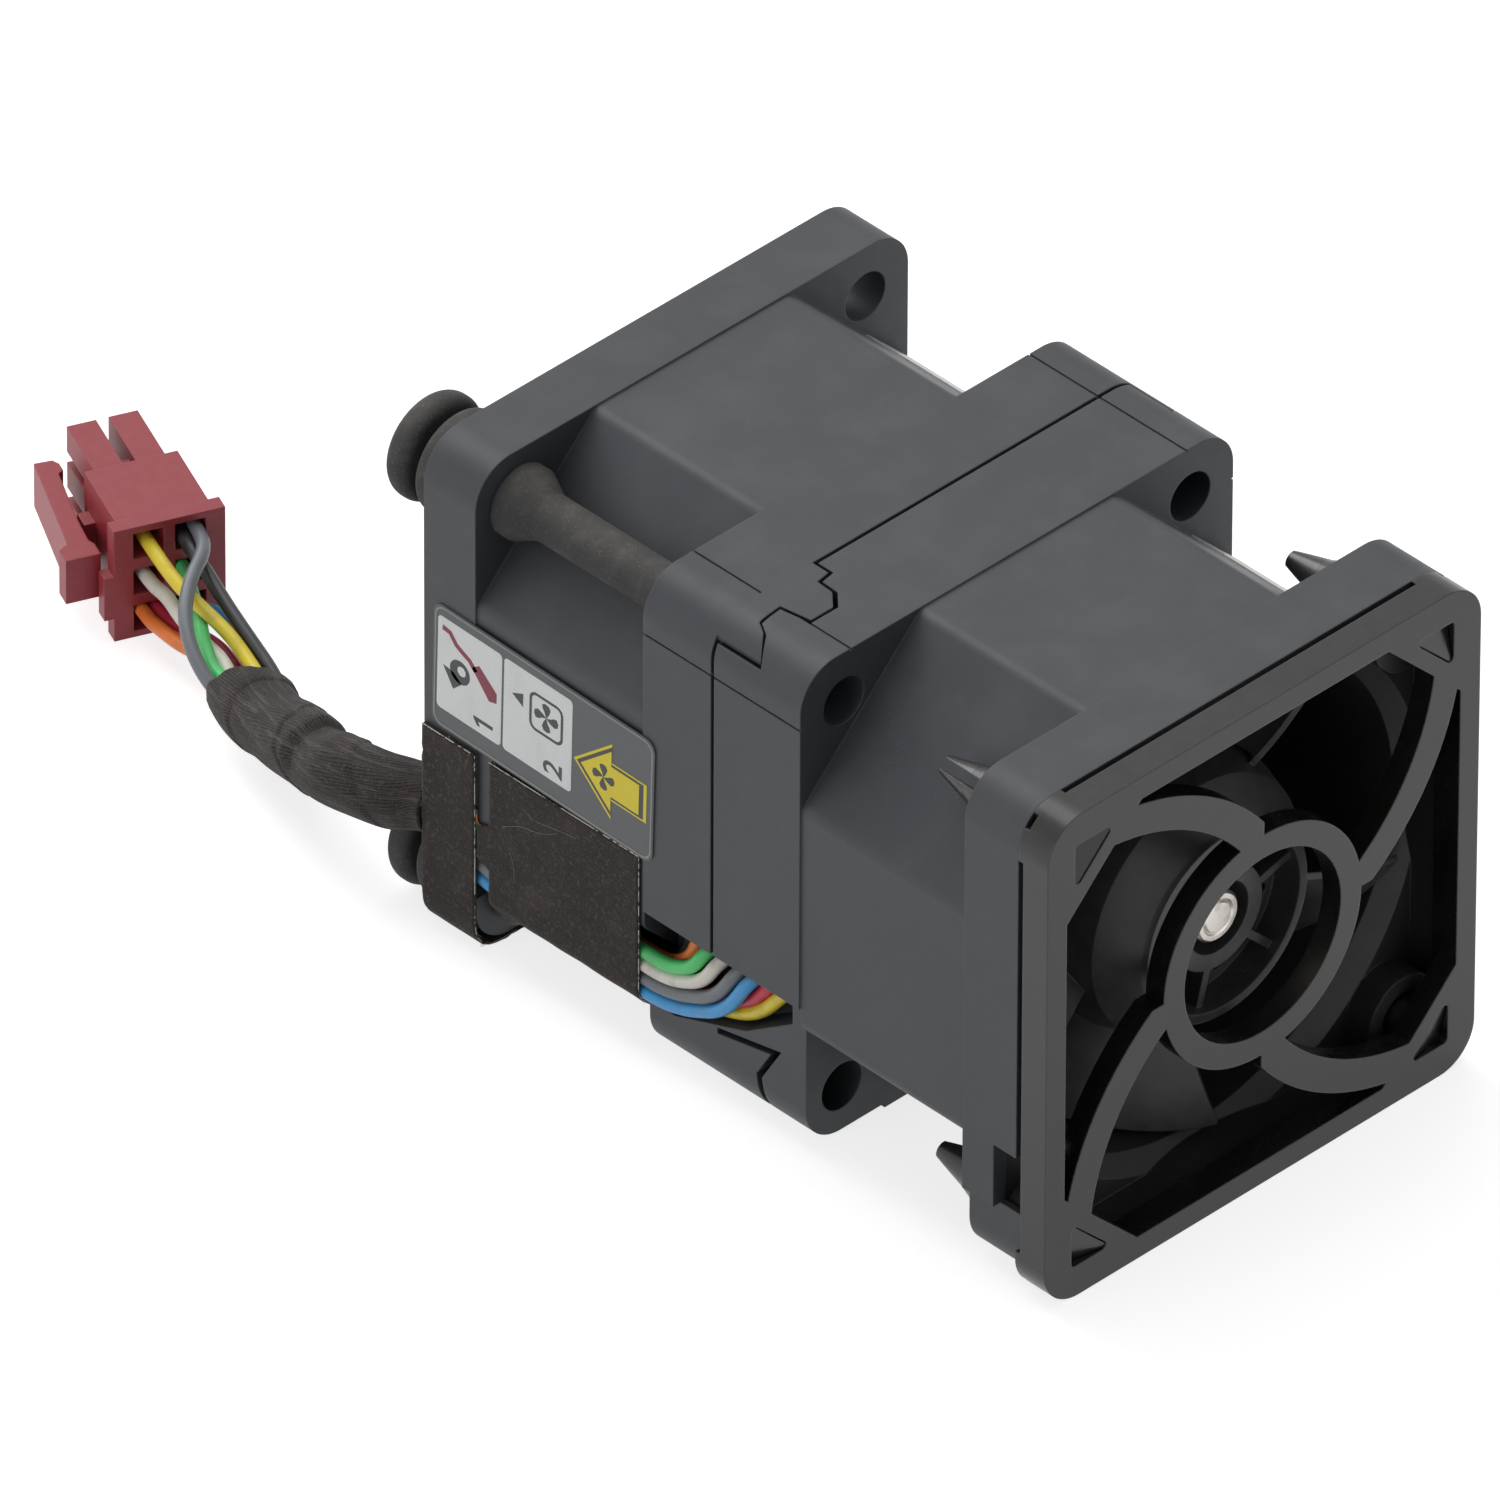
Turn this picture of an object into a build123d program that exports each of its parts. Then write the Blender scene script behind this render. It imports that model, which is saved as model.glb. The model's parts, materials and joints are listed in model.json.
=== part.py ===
from build123d import *
import math
import os

os.makedirs("parts", exist_ok=True)

# Counter-rotating fan module, in millimetres. X is right seen from the inlet, Y runs with
# the air from inlet to outlet, Z is up. Y is zero where the two housings meet and Z is zero
# at the underside.

# Housing sizes
SQUARE = 40.0
CORNER_R = 3.2
FRONT_LENGTH = 28.8
REAR_LENGTH = 27.2
FRONT_END_FLANGE = 5.0
REAR_END_FLANGE = 4.9
FRONT_MID_FLANGE = 8.4
REAR_MID_FLANGE = 6.4
DUCT_R = SQUARE / 2 - 1.6
POCKET_DISTANCE = SQUARE / 2 + 0.4
POCKET_EDGE_R = 1.2
BODY_STEP = 0.15
HOLE_PITCH = SQUARE - 8.0
HOLE_R = 1.85
MOUTH_WIDTH = SQUARE - 2.4
MOUTH_DEPTH = 2.2
MOUTH_CORNER_R = 2.5
BOSS_R = 3.1
BELL_DEPTH = 1.4
BELL_R = SQUARE / 2 - 0.4

# Hooks that lock the two housings at each corner
HOOK_THICKNESS = 1.7
HOOK_GAP = 0.25
HOOK_REACH = 4.1
HOOK_COUNT = 3
LEAD_HOOK_DEPTH = 2.4
LEAD_HOOK_GAP = 0.5
JOINT_GROOVE_WIDTH = 0.3
JOINT_GROOVE_DEPTH = 0.5
MARK_WIDTH = 0.18
MARK_DEPTH = 0.15
MARKS_AT = (SQUARE / 2 - 35.4, SQUARE / 2 - 4.4)

# Passage for the leads at the lower left corner
LEAD_NOTCH_TOP = 12.5
LEAD_NOTCH_BOTTOM = 4.7
LEAD_NOTCH_KNEE = 4.0
FRONT_NOTCH_INSET = 1.3
LEAD_NOTCH_FLOOR = SQUARE / 2 - 3.3
LEAD_SLOT_HEIGHT = 1.8
LEAD_WINDOW = 5.0
LEAD_ANGLE = 22.0
LEAD_START_R = 7.8
LEAD_TURN_R = 11.5
LEAD_LEVEL = 2.55
RELIEF_SIDE = 0.7
RELIEF_BASE = 0.36
RELIEF_WIDTH = 8.0
NOTCH_DEPTH = 5.0
NOTCH_STEP = 2.3
NOTCH_SLOPE_END = 4.4
NOTCH_SLOPE_DROP = 5.35
FRONT_SLOT_TOP = 11.5
FRONT_SLOT_BOTTOM = 6.3
FRONT_SLOT_DEPTH = 2.1
FRONT_SLOT_INSET = 1.3

# Motor base and struts
BASE_R = 10.3
BASE_WALL = 0.9
BASE_START = 0.4
BASE_FLOOR = 1.5
BASE_END = 4.7
STRUT_COUNT = 7
STRUT_THICKNESS = 1.1
STRUT_START = 0.4
STRUT_END = 4.6
STRUT_LEAN = 2.4
TUBE_R = 3.8
TUBE_END = 18.2

# Rotor
SHAFT_R = 1.25
SHAFT_START = 2.4
SHAFT_INSET = 1.35
BUSH_R = 1.95
HUB_START = 5.3
HUB_INSET = 0.55
HUB_R = 10.3
HUB_LIP_R = 7.7
HUB_LIP_WALL = 0.95
HUB_SHOULDER = 5.2
HUB_RECESS = 2.4
HUB_FLOOR = 1.5
HUB_BOSS_R = 4.0
HUB_BOSS_BORE_R = 2.75
HUB_BOSS_RECESS = 1.1
HUB_RIB_COUNT = 6
HUB_RIB_WIDTH = 0.6
HUB_RIB_RECESS = 0.8
HUB_PIT_R = 0.45
HUB_PIT_AT = 5.7
HUB_PIT_DEPTH = 0.7
BLADE_CAMBER = 0.12
FRONT_PHASE = -14.0
REAR_PHASE = 9.0
TIP_GAP = 0.35
FRONT_BLADES = 5
REAR_BLADES = 4
BLADE_THICKNESS = 0.75
BLADE_START = 6.8
BLADE_INSET = 1.6

# Motor
BEARING_R = 3.0
BEARING_WIDTH = 2.6
BEARING_GAP = 0.03
INNER_BEARING = 3.3
BEARING_SEAT_R = 2.4
YOKE_R = 9.4
YOKE_WALL = 0.6
MAGNET_WALL = 1.2
MAGNET_LENGTH = 10.0
AIR_GAP = 0.3
STATOR_START = 7.6
STATOR_LENGTH = 7.0
TOOTH_COUNT = 4
TOOTH_WIDTH = 2.6
TOOTH_ROOT_R = 4.9
SHOE_THICKNESS = 0.9
SHOE_SLOT = 1.6
INSULATOR_WALL = 0.7
COIL_WALL = 1.15
BOARD_R = 9.2
BOARD_THICKNESS = 0.8
BOARD_START = 3.1
RING_R = 2.1
RING_WIDTH = 0.4
WASHER_HEIGHT = 0.55
WASHER_WALL = 0.15

# Finger guard
GUARD_DEPTH = 2.3
GUARD_LIFT = 0.45
GUARD_RIM = 1.8
GUARD_GRILLE_DEPTH = 1.7
GUARD_RING_R = 9.15
GUARD_RING_WIDTH = 1.9
SPOKE_WIDTH = 2.5
SPOKE_ARC_R = 18.9
SPOKE_ARC_X = -1.8
SPOKE_ARC_Z = 16.2
GUSSET_LEG = 7.0
GUSSET_RECESS_LEG = 3.7
GUSSET_RECESS_DEPTH = 1.1
GUARD_PAD_AT = SQUARE / 2 - 2.6
GUARD_PAD_WIDTH = 2.4
PIN_R = 1.6
PIN_SLOT = 0.8
PIN_REACH = 5.8
PIN_BARB = 0.45
PIN_TIP_R = 0.7
PIN_GAP = 0.12
PIN_BARB_RISE = 0.35
PIN_BARB_END = 0.9
PIN_SLOT_START = 1.4

# Rubber isolators
NECK_R = 1.75
PLATE_R = 3.9
PLATE_THICKNESS = 1.2
GROOVE_R = 2.3
GROOVE_WIDTH = 0.9
HEAD_R = 3.97
HEAD_THICKNESS = 2.0
HEAD_ROUND = 0.85
PLATE_ROUND = 0.5
BULB_R = 2.7
BULB_LENGTH = 2.9
TAIL_R = 1.75
TAIL_GAP = 0.1
BULB_SLIT = 0.9
WALL_GAP = 0.06

# Stickers and tape
STICKER_THICKNESS = 0.12
STICKER_WIDTH = 21.0
STICKER_HEIGHT = 10.2
STICKER_R = 0.9
STICKER_MIDDLE_Y = 15.75
STICKER_MIDDLE_Z = 22.3
STICKER_TILT = 1.5
LABEL_THICKNESS = 0.12
LABEL_DROP = 9.0
LABEL_WRAP = 4.5
LABEL_MARGIN = 0.8
TAPE_THICKNESS = 0.28
TAPE_TOP = 16.9
POCKET_TAPE_START = 6.75
POCKET_TAPE_END = 20.9
FLANGE_TAPE_GAP = 0.02
TAPE_CORNER = 5.05
TAPE_HEEL = 16.7
TAPE_TOE = 18.6
POCKET_TAPE_TOE = 19.3
TAPE_END = 0.95
TAPE_OVERHANG = 0.12

# Leads and harness
WIRE_R = 0.5
LANE_PITCH = 1.05
OUTER_LANE = SQUARE / 2 - 0.62
MIDDLE_LANE = OUTER_LANE - LANE_PITCH
INNER_LANE = MIDDLE_LANE - LANE_PITCH
LANE_RISE = 12.5
LEAD_STEP = 0.97
LEAD_RANK_STEP = 0.75
LEAD_SPREAD = 1.2
SLEEVE_R = 2.7

# Connector
PLUG_X = -9.9
PLUG_Y = 62.4
PLUG_TURN = -23.0
COLLAR_WIDTH = 8.0
COLLAR_HEIGHT = 9.2
COLLAR_DEPTH = 1.2
PLUG_WIDTH = 6.7
PLUG_HEIGHT = 8.6
PLUG_BODY_END = 7.4
PLUG_END = 12.9
CAVITY_PITCH = 3.0
CAVITY_SIZE = 2.2
CAVITY_EXIT = 1.3
SILO_WIDTH = 2.1
TERMINAL_START = 3.2
TERMINAL_END = 6.6
LATCH_HEIGHT = 3.6
LATCH_THICKNESS = 1.35
LATCH_GAP = 0.3
FULCRUM_Y = 6.0
FULCRUM_POST = 0.8

AXIS_Z = SQUARE / 2
HOLE_AT = HOLE_PITCH / 2
FRONT_FACE = -FRONT_LENGTH
REAR_FACE = REAR_LENGTH
GUARD_FACE = FRONT_FACE - GUARD_LIFT - GUARD_DEPTH
YOKE_BORE_R = YOKE_R - YOKE_WALL
MAGNET_BORE_R = YOKE_BORE_R - MAGNET_WALL
STATOR_R = MAGNET_BORE_R - AIR_GAP
TIP_R = DUCT_R - TIP_GAP

FRONT = -1
REAR = 1


def save(name, shape):
    """Writes one node."""
    export_step(shape, f"parts/{name}.step")


def lifted(shape):
    """Moves a shape drawn about the rotor axis to its height above the base."""
    return Pos(0, 0, AXIS_Z) * shape


def span(sketch, near, far, side):
    """Extrudes a cross-section between two distances from the parting plane."""
    low, high = sorted((side * near, side * far))
    return Pos(0, high, 0) * extrude(Plane.XZ * sketch, high - low)


def disc(radius, near, far, side):
    """A round bar on the rotor axis."""
    return span(Circle(radius), near, far, side)


def ring(outer, inner, near, far, side):
    """A round tube on the rotor axis."""
    return span(Circle(outer) - Circle(inner), near, far, side)


def turned(points, side):
    """Revolves an outline of (radius, distance from the parting plane) about the rotor axis."""
    outline = Plane.XY * make_face(Polyline(*[(r, side * a) for r, a in points], close=True))
    return revolve(outline, Axis.Y)


def box_between(x0, x1, y0, y1, z0, z1):
    """A block from its lowest and highest corner."""
    block = Box(x1 - x0, y1 - y0, z1 - z0)
    return Pos((x0 + x1) / 2, (y0 + y1) / 2, (z0 + z1) / 2) * block


def corners():
    """The four mounting hole centres, as seen from the inlet."""
    return [(sx * HOLE_AT, sz * HOLE_AT) for sx in (-1, 1) for sz in (-1, 1)]


def quarter_turns(shape):
    """The shape at the four corners, each a quarter turn on from the last."""
    return [Rot(0, 90 * i, 0) * shape for i in range(4)]


# Housings

def hook_outline(grow):
    """Edge of a corner hook, measured along the face from the corner and forward of the joint."""
    start = 0.6 - grow
    end = 9.3 + grow
    points = [
        (start, 0.6),
        (start, -HOOK_REACH - grow),
        (1.9, -3.0 - grow),
        (2.4, -2.1 - grow),
        (4.5 - grow, -1.9 - grow),
        (4.9 - grow, -HOOK_REACH - 0.3 - grow),
        (6.9 + grow, -HOOK_REACH - 0.3 - grow),
        (8.0 + grow, -3.2 - grow),
        (8.1 + grow, -1.7 - grow),
        (end, -1.5 - grow),
        (end, 0.6),
    ]
    return make_face(Polyline(*points, close=True))


def hook(grow):
    """One hook on the top face next to the top left corner."""
    sketch = Pos(-SQUARE / 2, 0) * hook_outline(grow)
    depth = HOOK_THICKNESS + grow
    slab = Pos(0, 0, SQUARE / 2 - depth) * extrude(sketch, depth + 1)
    return slab & span(RectangleRounded(SQUARE, SQUARE, CORNER_R), -8, 8, REAR)


def lead_hook(grow):
    """The hook under the leads, on the left face next to the lower left corner."""
    edge = make_face(Polyline((0.6, -1), (-4.05, -1), (-4.05, 2.1), (-3.7, 4.2), (-5.05, 6.5),
                              (-0.2, 5.5), (0.6, 5.5), close=True))
    if grow:
        edge = offset(edge, grow, kind=Kind.INTERSECTION)
    slab = Pos(-SQUARE / 2 - 1, 0, 0) * extrude(Plane.YZ * edge, LEAD_HOOK_DEPTH + 1 + grow)
    return slab & lifted(span(RectangleRounded(SQUARE, SQUARE, CORNER_R), -8, 8, REAR))


def joint_groove():
    """The narrow groove round the module where the two frames meet."""
    square = RectangleRounded(SQUARE, SQUARE, CORNER_R)
    inside = SQUARE - 2 * JOINT_GROOVE_DEPTH
    band = square - RectangleRounded(inside, inside, CORNER_R - JOINT_GROOVE_DEPTH)
    return span(band, 0, JOINT_GROOVE_WIDTH, FRONT)


def corner_relief(y0, y1, inset):
    """What is taken off the lower left corner so that leads and tape lie within the square."""
    reach = RELIEF_WIDTH
    cut = Pos(-SQUARE / 2, 0) * Rectangle(reach, LEAD_NOTCH_TOP, align=(Align.MIN, Align.MIN))
    keep = Pos(-SQUARE / 2 + inset, RELIEF_BASE) * RectangleRounded(
        SQUARE, SQUARE, CORNER_R, align=(Align.MIN, Align.MIN))
    return Pos(0, y1, 0) * extrude(Plane.XZ * (cut - keep), y1 - y0)


def lead_notch(y0, y1):
    """The step in the left face in which the leads turn and run to the rear."""
    left = -SQUARE / 2 - 1
    floor = -LEAD_NOTCH_FLOOR
    step = make_face(Polyline(
        (left, LEAD_NOTCH_TOP), (floor - 0.6, LEAD_NOTCH_TOP), (floor, LEAD_NOTCH_TOP - 1.9),
        (floor, LEAD_NOTCH_BOTTOM + 1.7), (floor - 0.95, LEAD_NOTCH_BOTTOM + 1.55),
        (floor - 1.1, LEAD_NOTCH_BOTTOM + 0.5), (floor - 1.5, LEAD_NOTCH_BOTTOM),
        (left, LEAD_NOTCH_BOTTOM), close=True))
    return Pos(0, y1, 0) * extrude(Plane.XZ * step, y1 - y0)


def joint_notch():
    """The notch across the joint, with a bottom that slopes down towards the outlet."""
    start = -FRONT_MID_FLANGE + FRONT_NOTCH_INSET
    top = LEAD_NOTCH_TOP + 1
    side = make_face(Polyline(
        (start, top), (start, LEAD_NOTCH_TOP - NOTCH_STEP),
        (start + NOTCH_SLOPE_END, LEAD_NOTCH_TOP - NOTCH_SLOPE_DROP),
        (LEAD_NOTCH_KNEE, LEAD_NOTCH_BOTTOM), (REAR_MID_FLANGE, LEAD_NOTCH_BOTTOM), (REAR_MID_FLANGE, top),
        close=True))
    ledge = Pos(-SQUARE / 2 - 1, 0, 0) * extrude(Plane.YZ * side, NOTCH_DEPTH)
    return ledge & lead_notch(start, REAR_MID_FLANGE)


def lead_slot(y0, y1):
    """The slot through the wall that the leads come out of."""
    return box_between(-SQUARE / 2, -DUCT_R * 0.75, y0, y1,
                       LEAD_NOTCH_TOP - LEAD_SLOT_HEIGHT, LEAD_NOTCH_TOP)


def mouth(length, side):
    """The square inlet pocket with a round boss left at each hole, and the bell behind it."""
    pocket = RectangleRounded(MOUTH_WIDTH, MOUTH_WIDTH, MOUTH_CORNER_R)
    for x, z in corners():
        pocket -= Pos(x, z) * Circle(BOSS_R)
        pocket -= Pos(x * 1.15, z * 1.15) * Rectangle(2 * BOSS_R, 2 * BOSS_R)
    cut = span(pocket, length - MOUTH_DEPTH, length + 1, side)
    bell_end = length - MOUTH_DEPTH
    bell = turned([(0, bell_end - BELL_DEPTH), (DUCT_R, bell_end - BELL_DEPTH), (BELL_R, bell_end),
                   (BELL_R, length + 1), (0, length + 1)], side)
    bell &= span(Rectangle(MOUTH_WIDTH, MOUTH_WIDTH), 0, length + 1, side)
    return cut + bell


def strut(side):
    """One stator vane from the motor base to the duct wall."""
    lean = STRUT_LEAN / 2
    half = STRUT_THICKNESS / 2
    vane = make_face(Polyline(
        (lean - half, side * STRUT_START), (lean + half, side * STRUT_START),
        (-lean + half, side * STRUT_END), (-lean - half, side * STRUT_END), close=True))
    inner = BASE_R - BASE_WALL / 2
    return Pos(0, 0, inner) * extrude(Plane.XY * vane, DUCT_R + 0.6 - inner)


def housing(side, length, end_flange, mid_flange):
    """One fan frame: flanges, duct, struts, motor base and bearing tube in one moulding."""
    square = RectangleRounded(SQUARE, SQUARE, CORNER_R)
    slim = SQUARE - 2 * BODY_STEP
    section = Rectangle(slim, slim) & Rot(0, 0, 45) * Rectangle(2 * POCKET_DISTANCE, 2 * POCKET_DISTANCE)
    section = fillet(section.vertices(), POCKET_EDGE_R)
    body = span(section, mid_flange / 2, length - end_flange / 2, side)
    body += span(square, length - end_flange, length, side)
    body += span(square, 0, mid_flange, side)
    body -= disc(DUCT_R, -1, length + 1, side)
    body -= mouth(length, side)
    struts = [Rot(0, 360 * (i + 0.25) / STRUT_COUNT, 0) * strut(side) for i in range(STRUT_COUNT)]
    body += struts
    body += disc(BASE_R, BASE_START, BASE_END, side)
    body -= disc(BASE_R - BASE_WALL, BASE_START + BASE_FLOOR, BASE_END + 1, side)
    body += disc(TUBE_R, BASE_START, TUBE_END, side)
    body -= disc(BEARING_SEAT_R, BASE_START + 1, TUBE_END, side)
    body -= disc(BEARING_R, INNER_BEARING, TUBE_END + 1, side)
    for x, z in corners():
        body -= Pos(x, 0, z) * disc(HOLE_R, -1, length + 1, side)
    return body


def lead_window(side):
    """The opening in the motor base wall through which the leads reach the board."""
    near, far = sorted((side * (BASE_START + BASE_FLOOR), side * (BASE_END + 1)))
    half = LEAD_WINDOW / 2
    block = box_between(-BASE_R - 1, -BASE_R + 1.5 * BASE_WALL, near, far, -half, half)
    return Rot(0, -LEAD_ANGLE, 0) * block


def moulding_marks(side, mid_flange):
    """Fine parting lines on the joint flange, one each side of every face."""
    low, high = sorted((0, side * mid_flange))
    marks = []
    for x in MARKS_AT:
        mark = box_between(x - MARK_WIDTH / 2, x + MARK_WIDTH / 2, low, high,
                           SQUARE / 2 - MARK_DEPTH, SQUARE / 2 + 1)
        marks += quarter_turns(mark)
    return marks


def front_housing():
    """The inlet frame, notched for the hooks of the rear frame."""
    body = housing(FRONT, FRONT_LENGTH, FRONT_END_FLANGE, FRONT_MID_FLANGE)
    body -= quarter_turns(hook(HOOK_GAP))[:HOOK_COUNT]
    body -= joint_groove()
    body -= moulding_marks(FRONT, FRONT_MID_FLANGE)
    body -= lead_window(FRONT)
    body = lifted(body)
    body -= lead_hook(LEAD_HOOK_GAP)
    body -= corner_relief(-FRONT_MID_FLANGE, 0, RELIEF_SIDE)
    body -= joint_notch()
    body -= lead_slot(-FRONT_MID_FLANGE + 1.6, 0)
    flange_rear = FRONT_FACE + FRONT_END_FLANGE
    body -= corner_relief(FRONT_FACE, flange_rear, RELIEF_SIDE) & box_between(
        -SQUARE, SQUARE, FRONT_FACE, flange_rear, 0, FRONT_SLOT_BOTTOM)
    body -= box_between(-SQUARE, -SQUARE / 2 + FRONT_SLOT_INSET, FRONT_FACE - 1,
                        FRONT_FACE + FRONT_SLOT_DEPTH, FRONT_SLOT_BOTTOM, FRONT_SLOT_TOP)
    return body


def rear_housing():
    """The outlet frame with its hooks at the corners."""
    body = housing(REAR, REAR_LENGTH, REAR_END_FLANGE, REAR_MID_FLANGE)
    hooks = [h - disc(DUCT_R, -10, 10, REAR) for h in quarter_turns(hook(0))[:HOOK_COUNT]]
    body += hooks
    body += Pos(0, 0, -AXIS_Z) * lead_hook(0) - disc(DUCT_R, -10, 10, REAR)
    body -= [Pos(x, 0, z) * disc(HOLE_R, -10, 10, REAR) for x, z in corners()]
    body -= moulding_marks(REAR, REAR_MID_FLANGE)
    body -= lead_window(REAR)
    body = lifted(body)
    flange_front = REAR_FACE - REAR_END_FLANGE
    body -= corner_relief(-SQUARE / 2, REAR_MID_FLANGE, RELIEF_SIDE)
    body -= corner_relief(flange_front, REAR_FACE, 0)
    body -= joint_notch()
    body -= lead_notch(flange_front, REAR_FACE)
    body -= lead_slot(0, REAR_MID_FLANGE - 0.5)
    return body


# Rotors

def blade_section(radius, lead_angle, trail_angle, low, high, thickness, camber):
    """A cambered blade section, drawn flat at one radius."""
    x0 = radius * math.radians(lead_angle)
    x1 = radius * math.radians(trail_angle)
    dx = x1 - x0
    dy = high - low
    chord = math.hypot(dx, dy)
    bow = camber * chord
    nx = -dy / chord
    ny = dx / chord
    mx = (x0 + x1) / 2
    my = (low + high) / 2
    nose = thickness * 0.25
    a = (x0 + nx * nose, low + ny * nose)
    b = (x1 + nx * nose, high + ny * nose)
    c = (x1 - nx * nose, high - ny * nose)
    d = (x0 - nx * nose, low - ny * nose)
    over = (mx + nx * (bow + thickness / 2), my + ny * (bow + thickness / 2))
    under = (mx + nx * (bow - thickness / 2), my + ny * (bow - thickness / 2))
    edge = ThreePointArc(a, over, b) + Line(b, c) + ThreePointArc(c, under, d) + Line(d, a)
    return Pos(0, 0, radius) * make_face(edge)


def blade(length, camber):
    """One twisted blade, running out to the duct wall."""
    low = BLADE_START
    high = length - BLADE_INSET
    tip = TIP_R + 1.2
    root = HUB_LIP_R + 0.6
    middle = (root + tip) / 2
    sections = [
        blade_section(root, 20, -22, low + 1.0, high - 3.2, BLADE_THICKNESS * 1.4, camber),
        blade_section(middle, 22, -24, low + 0.4, high - 1.2, BLADE_THICKNESS * 1.15, camber),
        blade_section(tip, 26, -30, low, high, BLADE_THICKNESS, camber),
    ]
    return loft(sections)


def impeller(length, blades, camber, phase):
    """Open hub with ribs round the shaft boss, and the ring of blades."""
    front = length - HUB_INSET
    floor = front - HUB_RECESS
    shoulder = front - HUB_SHOULDER
    under = floor - HUB_FLOOR
    hub = turned([
        (BUSH_R, under), (YOKE_R, under), (YOKE_R, HUB_START), (HUB_R, HUB_START),
        (HUB_R, shoulder), (HUB_R - 0.7, shoulder + 2.2), (HUB_LIP_R, front - 0.3),
        (HUB_LIP_R - 0.3, front), (HUB_LIP_R - HUB_LIP_WALL, front), (HUB_LIP_R - HUB_LIP_WALL, floor),
        (HUB_BOSS_R, floor), (HUB_BOSS_R, front - HUB_BOSS_RECESS + 0.3),
        (HUB_BOSS_BORE_R, front - HUB_BOSS_RECESS + 0.3), (HUB_BOSS_BORE_R, front - HUB_BOSS_RECESS - 1.6),
        (BUSH_R, front - HUB_BOSS_RECESS - 1.6)], REAR)
    rib = box_between(HUB_BOSS_R - 0.2, HUB_LIP_R - HUB_LIP_WALL + 0.2, floor - 0.2,
                      front - HUB_RIB_RECESS, -HUB_RIB_WIDTH / 2, HUB_RIB_WIDTH / 2)
    hub += [Rot(0, 360 * i / HUB_RIB_COUNT + 45, 0) * rib for i in range(HUB_RIB_COUNT)]
    pit = disc(HUB_PIT_R, floor - HUB_PIT_DEPTH, floor + 1, REAR)
    for i in range(HUB_RIB_COUNT):
        hub -= Rot(0, 360 * (i + 0.5) / HUB_RIB_COUNT + 45, 0) * Pos(HUB_PIT_AT, 0, 0) * pit
    wheel = disc(TIP_R, 0, length, REAR) - disc(HUB_R - 0.5, 0, shoulder, REAR)
    wheel -= turned([(0, shoulder - 0.5), (HUB_R - 0.4, shoulder - 0.5), (HUB_R - 1.1, shoulder + 2.2),
                     (HUB_LIP_R - 0.4, front - 0.3), (HUB_LIP_R - 0.4, front + 1), (0, front + 1)], REAR)
    one = blade(length, camber) & wheel
    hub += [Rot(0, 360 * i / blades + phase, 0) * one for i in range(blades)]
    return hub


def rotor_yoke(length):
    """Deep-drawn steel cup pressed into the hub."""
    top = length - HUB_INSET - HUB_RECESS - HUB_FLOOR
    return turned([(BUSH_R, top), (YOKE_R, top), (YOKE_R, HUB_START + 0.3), (YOKE_BORE_R, HUB_START + 0.3),
                   (YOKE_BORE_R, top - YOKE_WALL), (BUSH_R, top - YOKE_WALL)], REAR)


def magnet_ring():
    """Bonded magnet inside the yoke."""
    return ring(YOKE_BORE_R, MAGNET_BORE_R, HUB_START + 0.6, HUB_START + 0.6 + MAGNET_LENGTH, REAR)


def rotor_shaft(length):
    """Steel shaft with a groove for its retaining ring and a chamfered end."""
    end = length - SHAFT_INSET
    groove = SHAFT_START + 0.3
    return turned([(0, SHAFT_START), (SHAFT_R - 0.1, SHAFT_START), (SHAFT_R, SHAFT_START + 0.1),
                   (SHAFT_R, groove), (SHAFT_R - 0.25, groove), (SHAFT_R - 0.25, groove + RING_WIDTH + 0.05),
                   (SHAFT_R, groove + RING_WIDTH + 0.05), (SHAFT_R, end - 0.15), (SHAFT_R - 0.15, end),
                   (0, end)], REAR)


def hub_bush(length):
    """Metal bush that joins shaft, yoke and hub."""
    end = length - SHAFT_INSET - 0.05
    start = length - HUB_INSET - HUB_RECESS - HUB_FLOOR - YOKE_WALL
    return turned([(SHAFT_R, start), (BUSH_R, start), (BUSH_R, end - 0.2), (BUSH_R - 0.2, end),
                   (SHAFT_R + 0.15, end), (SHAFT_R, end - 0.15)], REAR)


def retaining_ring():
    """Open ring that keeps the shaft in its bearings."""
    low = SHAFT_START + 0.3
    shape = ring(RING_R, SHAFT_R - 0.25, low, low + RING_WIDTH, REAR)
    return shape - box_between(-0.6, 0.6, low - 1, low + RING_WIDTH + 1, 0, RING_R + 1)


# Stator

def bearing(start):
    """Shielded ball bearing: two races and a recessed shield as one turned piece."""
    end = start + BEARING_WIDTH
    bore = SHAFT_R + BEARING_GAP
    inner = bore + 0.45
    outer = BEARING_R - 0.4
    low = start + 0.2
    high = end - 0.2
    return turned([(bore, start), (inner, start), (inner, low), (outer, low), (outer, start), (BEARING_R, start),
                   (BEARING_R, end), (outer, end), (outer, high), (inner, high), (inner, end), (bore, end)], REAR)


def bearings():
    """The pair of bearings in the tube."""
    outer = TUBE_END - BEARING_WIDTH - 0.2
    return Compound([bearing(INNER_BEARING), bearing(outer)])


def preload_washer():
    """Cone washer that loads the outer bearing."""
    top = TUBE_END - BEARING_WIDTH - 0.2
    outer = BEARING_R - 0.1
    inner = SHAFT_R + 0.5
    low = top - WASHER_HEIGHT
    return turned([(inner, top - WASHER_WALL), (inner, top), (outer, low + WASHER_WALL), (outer, low)], REAR)


def bearing_spacer():
    """Sleeve between the bearings inside the tube."""
    low = INNER_BEARING + BEARING_WIDTH
    high = TUBE_END - BEARING_WIDTH - 0.2 - WASHER_HEIGHT
    return ring(BEARING_R, BEARING_R - 0.6, low, high, REAR)


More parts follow.
